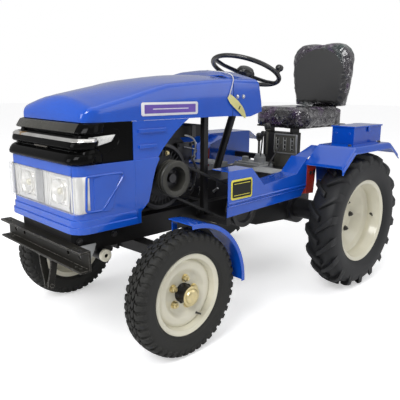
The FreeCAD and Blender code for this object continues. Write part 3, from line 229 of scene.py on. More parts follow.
def edge_wear() -> bpy.types.NodeTree:
    """Group: a mask of the edges, broken up by noise; worn paint on most finishes, and a painted highlight
    along the edges on the blue enamel.
    """

    def fill(graph: Graph, given: bpy.types.Node, result: bpy.types.Node) -> None:
        """Compares the rounded normal with the face's own."""
        rounded = graph.node("ShaderNodeBevel", {"Radius": given.outputs["Radius"]}, samples=4)
        flat = graph.node("ShaderNodeNewGeometry").outputs["Normal"]
        dot = graph.node("ShaderNodeVectorMath", {0: rounded.outputs[0], 1: flat}, operation="DOT_PRODUCT")
        turned = graph.spread(graph.math("SUBTRACT", 1.0, dot.outputs["Value"]), 0.02, 0.25)
        patches = graph.spread(graph.noise(given.outputs["Chip Scale"], 4.0, 0.6), 0.38, 0.62)
        worn_and_lit = graph.math("MULTIPLY", turned, patches)
        graph.tree.links.new(graph.math("MULTIPLY", worn_and_lit, given.outputs["Amount"], True),
            result.inputs["Mask"])

    return shared_group("edge_wear", {"Radius": 0.003, "Chip Scale": 60.0, "Amount": 0.5}, ["Mask"], fill)


def settled_dust() -> bpy.types.NodeTree:
    """Group: a mask thicker on faces that look up, broken by cloudy noise; dust on most finishes, and a
    painted top light on the blue enamel.
    """

    def fill(graph: Graph, given: bpy.types.Node, result: bpy.types.Node) -> None:
        """Multiplies the face's upward share by cloudy noise."""
        normal = graph.node("ShaderNodeNewGeometry").outputs["Normal"]
        up = graph.node("ShaderNodeSeparateXYZ", {0: normal}).outputs["Z"]
        share = graph.spread(up, -0.2, 1.0, 0.25, 1.0)
        cloud = graph.spread(graph.noise(given.outputs["Scale"], 5.0, 0.6), 0.35, 0.75)
        dusted_and_lit = graph.math("MULTIPLY", share, cloud)
        graph.tree.links.new(graph.math("MULTIPLY", dusted_and_lit, given.outputs["Amount"], True),
            result.inputs["Mask"])

    return shared_group("settled_dust", {"Scale": 9.0, "Amount": 0.3}, ["Mask"], fill)


def fine_skin() -> bpy.types.NodeTree:
    """Group: the height of a fine uneven skin, such as sprayed paint, a casting or moulded vinyl."""

    def fill(graph: Graph, given: bpy.types.Node, result: bpy.types.Node) -> None:
        """Adds pits to soft noise."""
        soft = graph.noise(given.outputs["Scale"], 2.0, 0.5)
        where = graph.node("ShaderNodeTexCoord").outputs["Object"]
        pits = graph.node("ShaderNodeTexVoronoi", {"Vector": where, "Scale": given.outputs["Scale"]})
        deep = graph.math("MULTIPLY", pits.outputs["Distance"], given.outputs["Pits"])
        graph.tree.links.new(graph.math("ADD", soft, deep), result.inputs["Height"])
        graph.tree.links.new(graph.spread(soft, 0.3, 0.7), result.inputs["Mottle"])

    return shared_group("fine_skin", {"Scale": 500.0, "Pits": 0.0}, ["Height", "Mottle"], fill)


# ------------------------------------------------------------------- finishes


@dataclass(frozen=True)
class Finish:
    """A finish that covers a piece: its colour, gloss, skin, dust and edge wear; on the blue enamel the dust
    is a painted top light and the edge wear a painted highlight.
    """

    name: str
    colour: Colour
    shade: Colour
    rough: Pair = (0.3, 0.4)
    metallic: float = 0.0
    coat: float = 0.0
    skin_scale: float = 500.0
    skin_depth: float = 0.00005
    pits: float = 0.0
    cloud_scale: float = 4.0
    dust: float = 0.1
    dust_colour: Colour = (0.30, 0.28, 0.25)
    wear: float = 0.0
    wear_colour: Colour = (0.45, 0.44, 0.42)
    wear_radius: float = 0.003
    specular: float = 0.5
    glow: float = 0.0

    def material(self) -> bpy.types.Material:
        """The finish as a material, made the first time it is asked for."""
        if self.name in bpy.data.materials:
            return bpy.data.materials[self.name]
        made = bpy.data.materials.new(self.name)
        made.use_nodes = True
        made.node_tree.nodes.clear()
        graph = Graph(made.node_tree)
        shader = graph.node("ShaderNodeBsdfPrincipled",
            {"Metallic": self.metallic, "Coat Weight": self.coat, "Coat Roughness": 0.06,
            "Specular IOR Level": self.specular})
        if self.glow > 0.0:
            seen = graph.node("ShaderNodeLightPath").outputs["Is Camera Ray"]
            shader.inputs["Emission Color"].default_value = (1.0, 1.0, 1.0, 1.0)
            made.node_tree.links.new(graph.math("MULTIPLY", seen, self.glow),
                shader.inputs["Emission Strength"])
        end = graph.node("ShaderNodeOutputMaterial")
        made.node_tree.links.new(shader.outputs[0], end.inputs[0])
        made.diffuse_color = opaque(self.colour)
        self.paint(graph, shader)
        return made

    def paint(self, graph: Graph, shader: bpy.types.Node) -> None:
        """Feeds the shader's colour, roughness and normal.

        Args:
            graph: The material's graph.
            shader: Its Principled node.
        """
        skin = graph.node("ShaderNodeGroup", {}, node_tree=fine_skin())
        skin.inputs["Scale"].default_value = self.skin_scale
        skin.inputs["Pits"].default_value = self.pits
        cloud = graph.spread(graph.noise(self.cloud_scale, 4.0, 0.6), 0.3, 0.7)
        colour = self.ground(graph, graph.mix(cloud, self.colour, self.shade))
        # Dust on faces that look up; on the blue enamel this mixes in a painted top light of lighter blue.
        dust = graph.node("ShaderNodeGroup", {}, node_tree=settled_dust())
        dust.inputs["Amount"].default_value = self.dust
        colour = graph.mix(dust.outputs["Mask"], colour, self.dust_colour)
        rough = graph.spread(graph.math("ADD", graph.math("MULTIPLY", cloud, 0.6),
            graph.math("MULTIPLY", skin.outputs["Mottle"], 0.4)), 0.0, 1.0, self.rough[0], self.rough[1])
        rough = graph.math("ADD", rough, graph.math("MULTIPLY", dust.outputs["Mask"], 0.5), True)
        # Edge wear; on the blue enamel this mixes in a painted highlight along the edges.
        if self.wear > 0.0:
            worn_and_lit = graph.node("ShaderNodeGroup", {}, node_tree=edge_wear())
            worn_and_lit.inputs["Amount"].default_value = self.wear
            worn_and_lit.inputs["Radius"].default_value = self.wear_radius
            colour = graph.mix(worn_and_lit.outputs["Mask"], colour, self.wear_colour)
        bump = graph.node("ShaderNodeBump", {"Strength": 1.0, "Distance": self.skin_depth,
            "Height": self.relief(graph, skin.outputs["Height"])})
        links = graph.tree.links
        links.new(colour, shader.inputs["Base Color"])
        links.new(rough, shader.inputs["Roughness"])
        links.new(bump.outputs[0], shader.inputs["Normal"])

    def ground(self, graph: Graph, colour: Socket) -> Socket:
        """The colour under the dust and edge wear, which on the blue enamel are a painted top light and a
        painted edge highlight; finishes with a pattern add it here.
        """
        return colour

    def relief(self, graph: Graph, height: Socket) -> Socket:
        """The height under the skin; finishes with folds or grain add them here."""
        return height


@dataclass(frozen=True)
class Film(Finish):
    """Clear packing film pulled over a seat: glossy, creased, with faint tints where it doubles."""

    tint: Colour = (0.10, 0.03, 0.14)
    other_tint: Colour = (0.03, 0.09, 0.07)

    def ground(self, graph: Graph, colour: Socket) -> Socket:
        """Adds the two faint tints in patches."""
        patch = graph.spread(graph.noise(6.0, 2.0, 0.5, 1.0), 0.54, 0.72, 0.0, 0.7)
        other = graph.spread(graph.noise(8.0, 2.0, 0.5, 0.6), 0.57, 0.74, 0.0, 0.5)
        return graph.mix(other, graph.mix(patch, colour, self.tint), self.other_tint)

    def relief(self, graph: Graph, height: Socket) -> Socket:
        """Adds long sharp creases to the skin."""
        where = graph.node("ShaderNodeTexCoord").outputs["Object"]
        bent = graph.node("ShaderNodeTexNoise", {"Vector": where, "Scale": 5.0, "Detail": 2.0})
        moved = graph.node("ShaderNodeVectorMath", {0: where, 1: bent.outputs["Color"]}, operation="ADD")
        crease = graph.node("ShaderNodeTexVoronoi", {"Vector": moved.outputs[0], "Scale": 11.0},
            feature="DISTANCE_TO_EDGE")
        sharp = graph.spread(crease.outputs["Distance"], 0.0, 0.22)
        wave = graph.noise(18.0, 3.0, 0.5, 0.8)
        folds = graph.math("ADD", graph.math("MULTIPLY", sharp, 0.6), graph.math("MULTIPLY", wave, 1.4))
        return graph.math("ADD", folds, graph.math("MULTIPLY", height, 0.02))


@dataclass(frozen=True)
class Glass(Finish):
    """Clear moulded plastic, so thin that it is a faint film with a gloss."""

    veil: float = 0.16

    def paint(self, graph: Graph, shader: bpy.types.Node) -> None:
        """Thins the surface, and gives it faint flow lines."""
        shader.inputs["Alpha"].default_value = self.veil
        height = graph.noise(self.skin_scale, 2.0, 0.5)
        bump = graph.node("ShaderNodeBump", {"Strength": 1.0, "Distance": self.skin_depth, "Height": height})
        cloud = graph.spread(graph.noise(self.cloud_scale, 3.0), 0.3, 0.7)
        rough = graph.spread(cloud, 0.0, 1.0, self.rough[0], self.rough[1])
        links = graph.tree.links
        links.new(graph.mix(cloud, self.colour, self.shade), shader.inputs["Base Color"])
        links.new(rough, shader.inputs["Roughness"])
        links.new(bump.outputs[0], shader.inputs["Normal"])


class Finishes:
    """Every finish on the tractor."""

    # The blue enamel's lighter blue on upward faces is a painted top light, and its lighter blue on edges is
    # a painted highlight.
    blue = Finish("blue_enamel", (0.003, 0.088, 0.56), (0.002, 0.070, 0.48), (0.10, 0.20), coat=0.55,
        skin_scale=380.0, dust=0.015, dust_colour=(0.16, 0.28, 0.60), wear=0.55,
        wear_colour=(0.16, 0.34, 0.85), wear_radius=0.0028, specular=0.4)
    cream = Finish("cream_enamel", (0.76, 0.73, 0.59), (0.68, 0.65, 0.52), (0.26, 0.38), coat=0.35,
        skin_scale=420.0, dust=0.22, dust_colour=(0.42, 0.39, 0.33), wear=0.15)
    black = Finish("black_enamel", (0.008, 0.008, 0.009), (0.013, 0.012, 0.012), (0.30, 0.46), specular=0.28,
        skin_scale=320.0, skin_depth=0.0001, dust=0.08, dust_colour=(0.07, 0.065, 0.06), wear=0.35,
        wear_colour=(0.16, 0.15, 0.14))
    channel = Finish("dull_black_enamel", (0.010, 0.0095, 0.008), (0.018, 0.017, 0.014), (0.34, 0.52),
        specular=0.2, skin_scale=260.0, skin_depth=0.00015, dust=0.14, dust_colour=(0.11, 0.105, 0.09),
        wear=0.9, wear_colour=(0.60, 0.57, 0.52))
    gloss = Finish("gloss_black_plastic", (0.002, 0.002, 0.002), (0.004, 0.004, 0.004), (0.06, 0.12),
        skin_scale=60.0, skin_depth=0.00002, dust=0.0, specular=0.06)
    blade = Finish("grey_black_plastic", (0.034, 0.033, 0.028), (0.046, 0.045, 0.038), (0.20, 0.30),
        skin_scale=900.0, skin_depth=0.00002, dust=0.03, specular=0.35)
    chrome = Finish("bright_chrome", (0.80, 0.79, 0.77), (0.62, 0.60, 0.56), (0.08, 0.16), metallic=0.92,
        coat=0.3, cloud_scale=14.0, skin_scale=120.0, skin_depth=0.00002, dust=0.02)
    zinc = Finish("bright_zinc", (0.62, 0.63, 0.65), (0.50, 0.51, 0.53), (0.2, 0.36), metallic=1.0,
        skin_scale=900.0, dust=0.06)
    yellow_zinc = Finish("yellow_zinc", (0.76, 0.64, 0.34), (0.62, 0.53, 0.30), (0.24, 0.38), metallic=0.85,
        cloud_scale=40.0, skin_scale=900.0, dust=0.05)
    steel = Finish("bare_steel", (0.33, 0.33, 0.34), (0.25, 0.24, 0.24), (0.3, 0.5), metallic=1.0,
        skin_scale=700.0, dust=0.12, wear=0.3, wear_colour=(0.6, 0.6, 0.6))
    dark_steel = Finish("dark_steel", (0.045, 0.045, 0.048), (0.075, 0.072, 0.07), (0.34, 0.55), metallic=0.6,
        skin_depth=0.0001, dust=0.18, wear=0.7, wear_colour=(0.35, 0.35, 0.36))
    casting = Finish("engine_casting", (0.006, 0.006, 0.006), (0.012, 0.012, 0.011), (0.42, 0.66),
        skin_scale=260.0, skin_depth=0.0003, pits=0.6, cloud_scale=9.0, specular=0.2,
        dust_colour=(0.03, 0.028, 0.025), wear=0.3, wear_colour=(0.12, 0.115, 0.11))
    olive = Finish("olive_steel", (0.10, 0.10, 0.085), (0.16, 0.155, 0.13), (0.35, 0.5), metallic=0.5,
        skin_scale=400.0, dust=0.15, wear=0.6, wear_colour=(0.42, 0.41, 0.37))
    tyre = Finish("rear_tyre_rubber", (0.009, 0.0095, 0.011), (0.014, 0.0145, 0.016), (0.42, 0.62),
        specular=0.35, skin_scale=350.0, skin_depth=0.0002, dust_colour=(0.04, 0.04, 0.038), wear=0.3,
        wear_colour=(0.04, 0.04, 0.04))
    front_tyre = Finish("front_tyre_rubber", (0.011, 0.011, 0.010), (0.018, 0.018, 0.016), (0.5, 0.72),
        skin_scale=350.0, skin_depth=0.0002, dust=0.22, dust_colour=(0.055, 0.054, 0.048), specular=0.35,
        wear=0.4, wear_colour=(0.075, 0.073, 0.070))
    belt = Finish("belt_rubber", (0.032, 0.030, 0.025), (0.048, 0.045, 0.038), (0.5, 0.7), skin_scale=900.0,
        specular=0.3, dust=0.14, wear=0.5, wear_colour=(0.09, 0.085, 0.08))
    grip = Finish("soft_black_plastic", (0.012, 0.012, 0.012), (0.018, 0.018, 0.018), (0.20, 0.32),
        specular=0.65, skin_scale=1200.0, skin_depth=0.00012, pits=0.5, dust=0.06)
    vinyl = Finish("seat_vinyl", (0.150, 0.147, 0.138), (0.185, 0.180, 0.170), (0.42, 0.58), skin_scale=700.0,
        skin_depth=0.0002, pits=0.8, cloud_scale=9.0, dust=0.12, dust_colour=(0.11, 0.11, 0.11))
    film = Film("seat_film", (0.016, 0.014, 0.018), (0.040, 0.034, 0.044), (0.08, 0.20), coat=1.0,
        skin_depth=0.012, dust=0.02)
    red = Finish("red_enamel", (0.50, 0.030, 0.018), (0.38, 0.024, 0.014), (0.24, 0.36), coat=0.4, wear=0.3,
        wear_colour=(0.62, 0.16, 0.10))
    white = Finish("white_plate", (0.80, 0.80, 0.82), (0.74, 0.74, 0.77), (0.3, 0.4), coat=0.3, dust=0.05)
    purple = Finish("purple_plate", (0.13, 0.06, 0.42), (0.11, 0.05, 0.35), (0.3, 0.4), coat=0.3, dust=0.05)
    yellow = Finish("yellow_plate", (0.80, 0.72, 0.06), (0.72, 0.64, 0.05), (0.3, 0.4), coat=0.3, dust=0.05)
    dark_plate = Finish("dark_plate", (0.006, 0.008, 0.006), (0.009, 0.011, 0.009), (0.3, 0.42),
        specular=0.25, dust=0.03)
    tag = Finish("tag_card", (0.70, 0.66, 0.26), (0.60, 0.55, 0.20), (0.4, 0.55), coat=0.2, dust=0.05)
    cord = Finish("white_cord", (0.74, 0.74, 0.72), (0.6, 0.6, 0.58), (0.5, 0.7), skin_scale=1500.0,
        dust=0.05)
    lamp_shell = Finish("lamp_housing", (0.84, 0.83, 0.80), (0.72, 0.71, 0.68), (0.12, 0.22), metallic=0.25,
        coat=0.6, skin_scale=90.0, skin_depth=0.0004, cloud_scale=30.0, dust=0.03)
    reflector = Finish("lamp_reflector", (0.92, 0.91, 0.88), (0.80, 0.78, 0.72), (0.08, 0.16), metallic=0.6,
        coat=0.8, skin_scale=140.0, skin_depth=0.0006, cloud_scale=40.0, dust=0.0)
    amber = Finish("amber_plastic", (0.36, 0.20, 0.05), (0.28, 0.15, 0.03), (0.1, 0.16), metallic=0.4,
        coat=0.6, dust=0.03)
    plaque = Finish("dark_bronze_plastic", (0.085, 0.075, 0.060), (0.110, 0.098, 0.080), (0.2, 0.3),
        metallic=0.4, coat=0.5, skin_scale=600.0, skin_depth=0.00002, dust=0.03)
    divider = Finish("lamp_divider", (0.30, 0.30, 0.30), (0.24, 0.24, 0.24), (0.25, 0.35), metallic=0.4,
        coat=0.4, dust=0.03)
    bulb = Finish("lamp_bulb", (0.74, 0.70, 0.55), (0.60, 0.56, 0.44), (0.06, 0.1), metallic=0.3, coat=0.8,
        dust=0.0)
    grey = Finish("light_grey_primer", (0.42, 0.43, 0.43), (0.36, 0.37, 0.37), (0.4, 0.55), skin_scale=300.0,
        dust=0.2, wear=0.4, wear_colour=(0.6, 0.6, 0.6))
    pulley = Finish("pulley_iron", (0.042, 0.042, 0.036), (0.070, 0.069, 0.060), (0.32, 0.5), metallic=0.55,
        skin_scale=420.0, skin_depth=0.00015, cloud_scale=14.0, dust=0.12, wear=0.6,
        wear_colour=(0.28, 0.28, 0.27), wear_radius=0.002)
    pale_hose = Finish("pale_hose", (0.62, 0.63, 0.62), (0.50, 0.51, 0.50), (0.25, 0.4), coat=0.3)
    glass = Glass("clear_plastic", (0.90, 0.91, 0.92), (0.84, 0.86, 0.88), (0.02, 0.06), coat=1.0,
        skin_scale=30.0, skin_depth=0.0004)


# ---------------------------------------------------------------- mesh making


def fresh() -> Shape:
    """An empty mesh to shape a piece in."""
    return bmesh.new()


def mm(width: int, *numbers: float) -> Rows:
    """A table of lengths, given row after row in millimetres.

    Args:
        width: How many numbers each row has.
        numbers: The lengths in millimetres.

    Returns:
        The rows, in metres.
    """
    lengths = [number / 1000.0 for number in numbers]
    return tuple(tuple(lengths[i:i + width]) for i in range(0, len(lengths), width))


def mesh_from(name: str, bm: Shape) -> bpy.types.Mesh:
    """Writes a shaped mesh out as mesh data, and frees it.

    Args:
        name: The data's name.
        bm: The shaped mesh.

    Returns:
        The mesh data.
    """
    mesh = bpy.data.meshes.new(name)
    bm.to_mesh(mesh)
    bm.free()
    return mesh


def placed(name: str, data: bpy.types.ID) -> bpy.types.Object:
    """An object of some data, in the scene.

    Args:
        name: The object's name.
        data: Its data.

    Returns:
        The object.
    """
    obj = bpy.data.objects.new(name, data)
    bpy.context.scene.collection.objects.link(obj)
    return obj


def faced_out(bm: Shape) -> None:
    """Turns every face of a mesh outward."""
    bmesh.ops.recalc_face_normals(bm, faces=bm.faces[:])


def edges_of(verts: Iterable[Vert]) -> list[bmesh.types.BMEdge]:
    """The edges that meet some vertices, each once and always in the same order."""
    return list(dict.fromkeys(e for v in verts for e in v.link_edges))


def faces_of(verts: Iterable[Vert]) -> list[bmesh.types.BMFace]:
    """The faces that meet some vertices, each once and always in the same order."""
    return list(dict.fromkeys(f for v in verts for f in v.link_faces))


def rounded(bm: Shape, edges: list[bmesh.types.BMEdge], width: float, segments: int,
        **settings: object) -> None:
    """Rounds some edges.

    Args:
        bm: The mesh.
        edges: The edges.
        width: The rounding's width.
        segments: Its faces.
        settings: Other settings of the bevel.
    """
    bmesh.ops.bevel(bm, geom=edges, offset=width, segments=segments, profile=0.5, affect="EDGES", material=-1,
        **settings)


def moved(bm: Shape, verts: Iterable[Vert], matrix: Matrix) -> None:
    """Turns and moves some vertices.

    Args:
        bm: The mesh.
        verts: The vertices.
        matrix: Where they go.
    """
    bmesh.ops.transform(bm, matrix=matrix, verts=list(verts))


def slab(bm: Shape, low: Sequence[float], high: Sequence[float]) -> list[Vert]:
    """Adds a rectangular blank.

    Args:
        bm: The mesh.
        low: Its lowest corner.
        high: Its highest corner.

    Returns:
        Its vertices.
    """
    low, high = Vector(low), Vector(high)
    made = bmesh.ops.create_cube(bm, size=1.0)["verts"]
    span = high - low
    moved(bm, made, Matrix.Translation((low + high) / 2) @ Matrix.Diagonal((span.x, span.y, span.z, 1.0)))
    return made


def rod(bm: Shape, start: Sequence[float], end: Sequence[float], radius: float,
        end_radius: float | None = None, steps: int = 24) -> list[Vert]:
    """Adds a round bar between two points.

    Args:
        bm: The mesh.
        start: Its first end's centre.
        end: Its other end's centre.
        radius: Its radius at the start.
        end_radius: Its radius at the end, where it tapers.
        steps: Faces round it.

    Returns:
        Its vertices.
    """
    start, end = Vector(start), Vector(end)
    along = end - start
    made = bmesh.ops.create_cone(bm, cap_ends=True, segments=steps, radius1=radius,
        radius2=radius if end_radius is None else end_radius, depth=along.length)["verts"]
    turn = UP.rotation_difference(along).to_matrix().to_4x4()
    moved(bm, made, Matrix.Translation((start + end) / 2) @ turn)
    return made


def turned(bm: Shape, profile: Sequence[Pair], centre: Sequence[float], axis: Vector, steps: int = 64,
        closed: bool = False) -> list[Vert]:
    """Spins a profile once round an axis.

    Args:
        bm: The mesh.
        profile: Points of (distance along the axis, radius).
        centre: The point that the distances are measured from.
        axis: The axis's direction.
        steps: Steps round it.
        closed: Whether the profile's last point joins its first.

    Returns:
        The vertices of the turned form.
    """
    before = set(bm.verts)
    line = [bm.verts.new((radius, 0.0, along)) for along, radius in profile]
    edges = [bm.edges.new(pair) for pair in zip(line, line[1:])]
    if closed:
        edges.append(bm.edges.new((line[-1], line[0])))
    bmesh.ops.spin(bm, geom=line + edges, axis=(0, 0, 1), cent=(0, 0, 0), angle=math.tau, steps=steps,
        use_merge=True)
    made = [v for v in bm.verts if v not in before]
    bmesh.ops.remove_doubles(bm, verts=made, dist=MERGE)
    made = [v for v in bm.verts if v not in before]
    turn = UP.rotation_difference(Vector(axis)).to_matrix().to_4x4()
    moved(bm, made, Matrix.Translation(Vector(centre)) @ turn)
    bmesh.ops.recalc_face_normals(bm, faces=faces_of(made))
    return made


def sharp_edges(bm: Shape, angle: float) -> list[bmesh.types.BMEdge]:
    """The edges that turn by more than an angle.

    Args:
        bm: The mesh.
        angle: The angle, in degrees.

    Returns:
        The edges.
    """
    least = math.radians(angle)
    return [e for e in bm.edges if len(e.link_faces) == 2 and e.calc_face_angle(0.0) > least]


def eased(bm: Shape, width: float, segments: int = 2, angle: float = 30.0) -> None:
    """Rounds a mesh's sharp edges.

    Args:
        bm: The mesh.
        width: The rounding's width.
        segments: Its faces.
        angle: The least turn of an edge that is rounded, in degrees.
    """
    edges = sharp_edges(bm, angle)
    if edges:
        rounded(bm, edges, width, segments, offset_type="OFFSET", clamp_overlap=True)


def cad_copy(*nodes: str) -> Shape:
    """A closed copy of some CAD nodes, with flat areas in one face each.

    Args:
        nodes: The nodes' names.

    Returns:
        The copy, for a piece that stands for them.
    """
    bm = fresh()
    for name in nodes:
        bm.from_mesh(frame["nodes"][name].data)
    bmesh.ops.remove_doubles(bm, verts=bm.verts[:], dist=MERGE)
    bmesh.ops.dissolve_limit(bm, angle_limit=math.radians(1.0), verts=bm.verts[:], edges=bm.edges[:])
    return bm


@dataclass
class Piece:
    """One finished piece: its mesh, finish, body and the CAD nodes that it stands for."""

    name: str
    bm: Shape
    finish: Finish
    body: str = "chassis"
    nodes: tuple[str, ...] = ()
    slot: str | None = None
    smooth: float = 32.0
    ease: float = 0.0
    more: tuple[Finish, ...] = ()

    def make(self) -> bpy.types.Object:
        """Makes the object, shades it, puts it on its body and hides the CAD nodes that it stands for.

        Returns:
            The object.
        """
        mesh = mesh_from(self.name, self.bm)
        obj = placed(self.name, mesh)
        for finish in (self.finish, *self.more):
            mesh.materials.append(finish.material())
        mesh.shade_smooth()
        mesh.set_sharp_from_angle(angle=math.radians(self.smooth))
        if self.ease > 0.0:
            bevel = obj.modifiers.new("ease", "BEVEL")
            bevel.width, bevel.segments, bevel.limit_method = self.ease, 2, "ANGLE"
            bevel.angle_limit, bevel.use_clamp_overlap = math.radians(34.0), False
            bevel.harden_normals = False
            normals = obj.modifiers.new("normals", "WEIGHTED_NORMAL")
            normals.keep_sharp, normals.weight = True, 60
        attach(obj, self.body)
        if self.nodes:
            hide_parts(*self.nodes)
        LOG.info("%s rides on %s", self.name, self.body)
        return obj


def softened(node: str, finish: Finish, ease: float, name: str | None = None,
        shape: Callable[[Shape], None] | None = None) -> bpy.types.Object:
    """A copy of a rigid CAD node with its edges rounded, which stands for the node.

    Args:
        node: The node's name.
        finish: Its finish.
        ease: The rounding's width.
        name: The piece's name, where it isn't the node's with a suffix.
        shape: Changes the copy before it is finished.

    Returns:
        The piece.
    """
    bm = cad_copy(node)
    if shape:
        shape(bm)
    body = frame["nodes"][node]["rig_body"]
    return Piece(name or f"{node}_dressed", bm, finish, body, (node,), ease=ease).make()


def lofted(bm: Shape, rings: Sequence[Sequence[Point]], caps: bool = True) -> list[Vert]:
    """Skins closed rings one after another.

    Args:
        bm: The mesh.
        rings: Rings of points, the same number in each.
        caps: Whether the two end rings are closed.

    Returns:
        The form's vertices.
    """
    loops = []
    for ring in rings:
        verts = [bm.verts.new(point) for point in ring]
        loops.append((verts, [bm.edges.new(pair) for pair in zip(verts, verts[1:] + verts[:1])]))
    for (_, near), (_, far) in zip(loops, loops[1:]):
        bmesh.ops.bridge_loops(bm, edges=near + far)
    if caps:
        for _, edges in (loops[0], loops[-1]):
            bmesh.ops.contextual_create(bm, geom=edges)
    made = [v for verts, _ in loops for v in verts]
    bmesh.ops.recalc_face_normals(bm, faces=faces_of(made))
    return made


def swept(bm: Shape, path: Sequence[Pair], section: Sequence[Pair],
        taper: Callable[[float], float] = lambda share: 1.0) -> list[Vert]:
    """Carries a section along a path in plan, square to it.

    Args:
        bm: The mesh.
        path: Points of the path, (x, y).
        section: Points of the section, (distance outward, height).
        taper: How far the section stands out at each share of the path.

    Returns:
        The form's vertices.
    """
    spots = [Vector(p) for p in path]
    rings = []
    for index, spot in enumerate(spots):
        before, after = spots[max(index - 1, 0)], spots[min(index + 1, len(spots) - 1)]
        along = (after - before).normalized()
        out = Vector((-along.y, along.x)) * taper(index / (len(spots) - 1))
        rings.append([(spot.x + out.x * depth, spot.y + out.y * depth, height) for depth, height in section])
    return lofted(bm, rings)


def repeated_round(bm: Shape, verts: Iterable[Vert], centre: Sequence[float], count: int,
        axis: Point = (1.0, 0.0, 0.0)) -> None:
    """Repeats a form evenly round an axis.

    Args:
        bm: The mesh.
        verts: The form's vertices.
        centre: A point on the axis.
        count: How many there are in all.
        axis: The axis's direction.
    """
    faces = faces_of(verts)
    edges = list(dict.fromkeys(e for f in faces for e in f.edges))
    bmesh.ops.spin(bm, geom=list(verts) + edges + faces, cent=centre, axis=axis, dvec=(0, 0, 0),
        angle=math.tau * (count - 1) / count, steps=count - 1, use_duplicate=True)


def absorbed(bm: Shape, other: Shape) -> None:
    """Takes another mesh's geometry into a mesh, and frees the other.

    Args:
        bm: The mesh that keeps the geometry.
        other: The mesh that gives it.
    """
    carrier = bpy.data.meshes.new("carrier")
    other.to_mesh(carrier)
    other.free()
    bm.from_mesh(carrier)
    bpy.data.meshes.remove(carrier)


def mirrored_over(bm: Shape, verts: Iterable[Vert]) -> None:
    """Adds the mirror image of a form over the tractor's middle plane.

    Args:
        bm: The mesh.
        verts: The form's vertices.
    """
    faces = faces_of(verts)
    made = bmesh.ops.duplicate(bm, geom=list(verts) + list(dict.fromkeys(e for f in faces for e in f.edges))
        + faces)["geom"]
    copies = [g for g in made if isinstance(g, Vert)]
    moved(bm, copies, Matrix.Scale(-1.0, 4, (1, 0, 0)))
    bmesh.ops.reverse_faces(bm, faces=[g for g in made if isinstance(g, bmesh.types.BMFace)])


def flipped(bm: Shape, side: Side) -> Shape:
    """A mesh shaped for the left side, turned over for the right one where that is asked for.

    Args:
        bm: The mesh.
        side: The side that it is for.

    Returns:
        The mesh.
    """
    if side is Side.RIGHT:
        moved(bm, bm.verts, Matrix.Scale(-1.0, 4, (1, 0, 0)))
        bmesh.ops.reverse_faces(bm, faces=bm.faces[:])
    return bm


def line_tube(name: str, points: Sequence[Point], radius: float, finish: Finish, body: str = "chassis",
        closed: bool = False, smooth: bool = True) -> bpy.types.Object:
    """A round wire or bead along a line.

    Args:
        name: The piece's name.
        points: Points that the line follows.
        radius: The wire's radius.
        finish: Its finish.
        body: The body that it rides on.
        closed: Whether its ends join.
        smooth: Whether it curves between the points.

    Returns:
        The piece, as a mesh.
    """
    curve = bpy.data.curves.new(name + "_line", "CURVE")
    curve.dimensions, curve.bevel_depth, curve.bevel_resolution = "3D", radius, 3
    curve.use_fill_caps = True
    spline = curve.splines.new("NURBS" if smooth else "POLY")
    spline.points.add(len(points) - 1)
    for point, spot in zip(spline.points, points):
        point.co = (*spot, 1.0)
    spline.use_cyclic_u, spline.use_endpoint_u, spline.order_u, spline.resolution_u = closed, not closed, 3, 6
    holder = placed(name + "_line", curve)
    bm = fresh()
    bm.from_mesh(bpy.data.meshes.new_from_object(holder.evaluated_get(bpy.context.evaluated_depsgraph_get())))
    bpy.data.objects.remove(holder)
    bmesh.ops.remove_doubles(bm, verts=bm.verts[:], dist=MERGE)
    faced_out(bm)
    return Piece(name, bm, finish, body).make()


@dataclass
class Fastener:
    """A hexagon bolt or nut on its washer. The shares are of its width across flats."""

    spot: Point
    axis: Point
    across: float = 0.017
    height: float = 0.008
    washer: float = 0.0018
    stud: float = 0.0
    washer_share: float = 0.72
    corner_share: float = 0.577
    chamfer_share: float = 0.07
    stud_shares: Pair = (0.28, 0.22)

    def add(self, bm: Shape) -> None:
        """Adds the fastener to a mesh.

        Args:
            bm: The mesh.
        """
        spot, axis = Vector(self.spot), Vector(self.axis).normalized()
        rod(bm, spot - axis * 0.0005, spot + axis * self.washer, self.across * self.washer_share, steps=20)
        head = rod(bm, spot + axis * self.washer, spot + axis * (self.washer + self.height),
            self.across * self.corner_share, steps=6)
        rim = [e for e in edges_of(head) if all((u.co - spot).dot(axis) > self.washer + self.height * 0.9
            for u in e.verts)]
        rounded(bm, rim, self.across * self.chamfer_share, 2)
        if self.stud > 0.0:
            top = spot + axis * (self.washer + self.height)
            foot, tip = (self.across * share for share in self.stud_shares)
            rod(bm, top, top + axis * self.stud, foot, tip, 12)


def fastener_set(name: str, body: str, finish: Finish, items: Iterable[Fastener]) -> bpy.types.Object:
    """Several fasteners of one finish on one body.

    Args:
        name: The set's name.
        body: The body that they ride on.
        finish: Their finish.
        items: The fasteners.

    Returns:
        The piece.
    """
    bm = fresh()
    for item in items:
        item.add(bm)
    return Piece(name, bm, finish, body, smooth=SOFT).make()


# ---------------------------------------------------------------------- stage


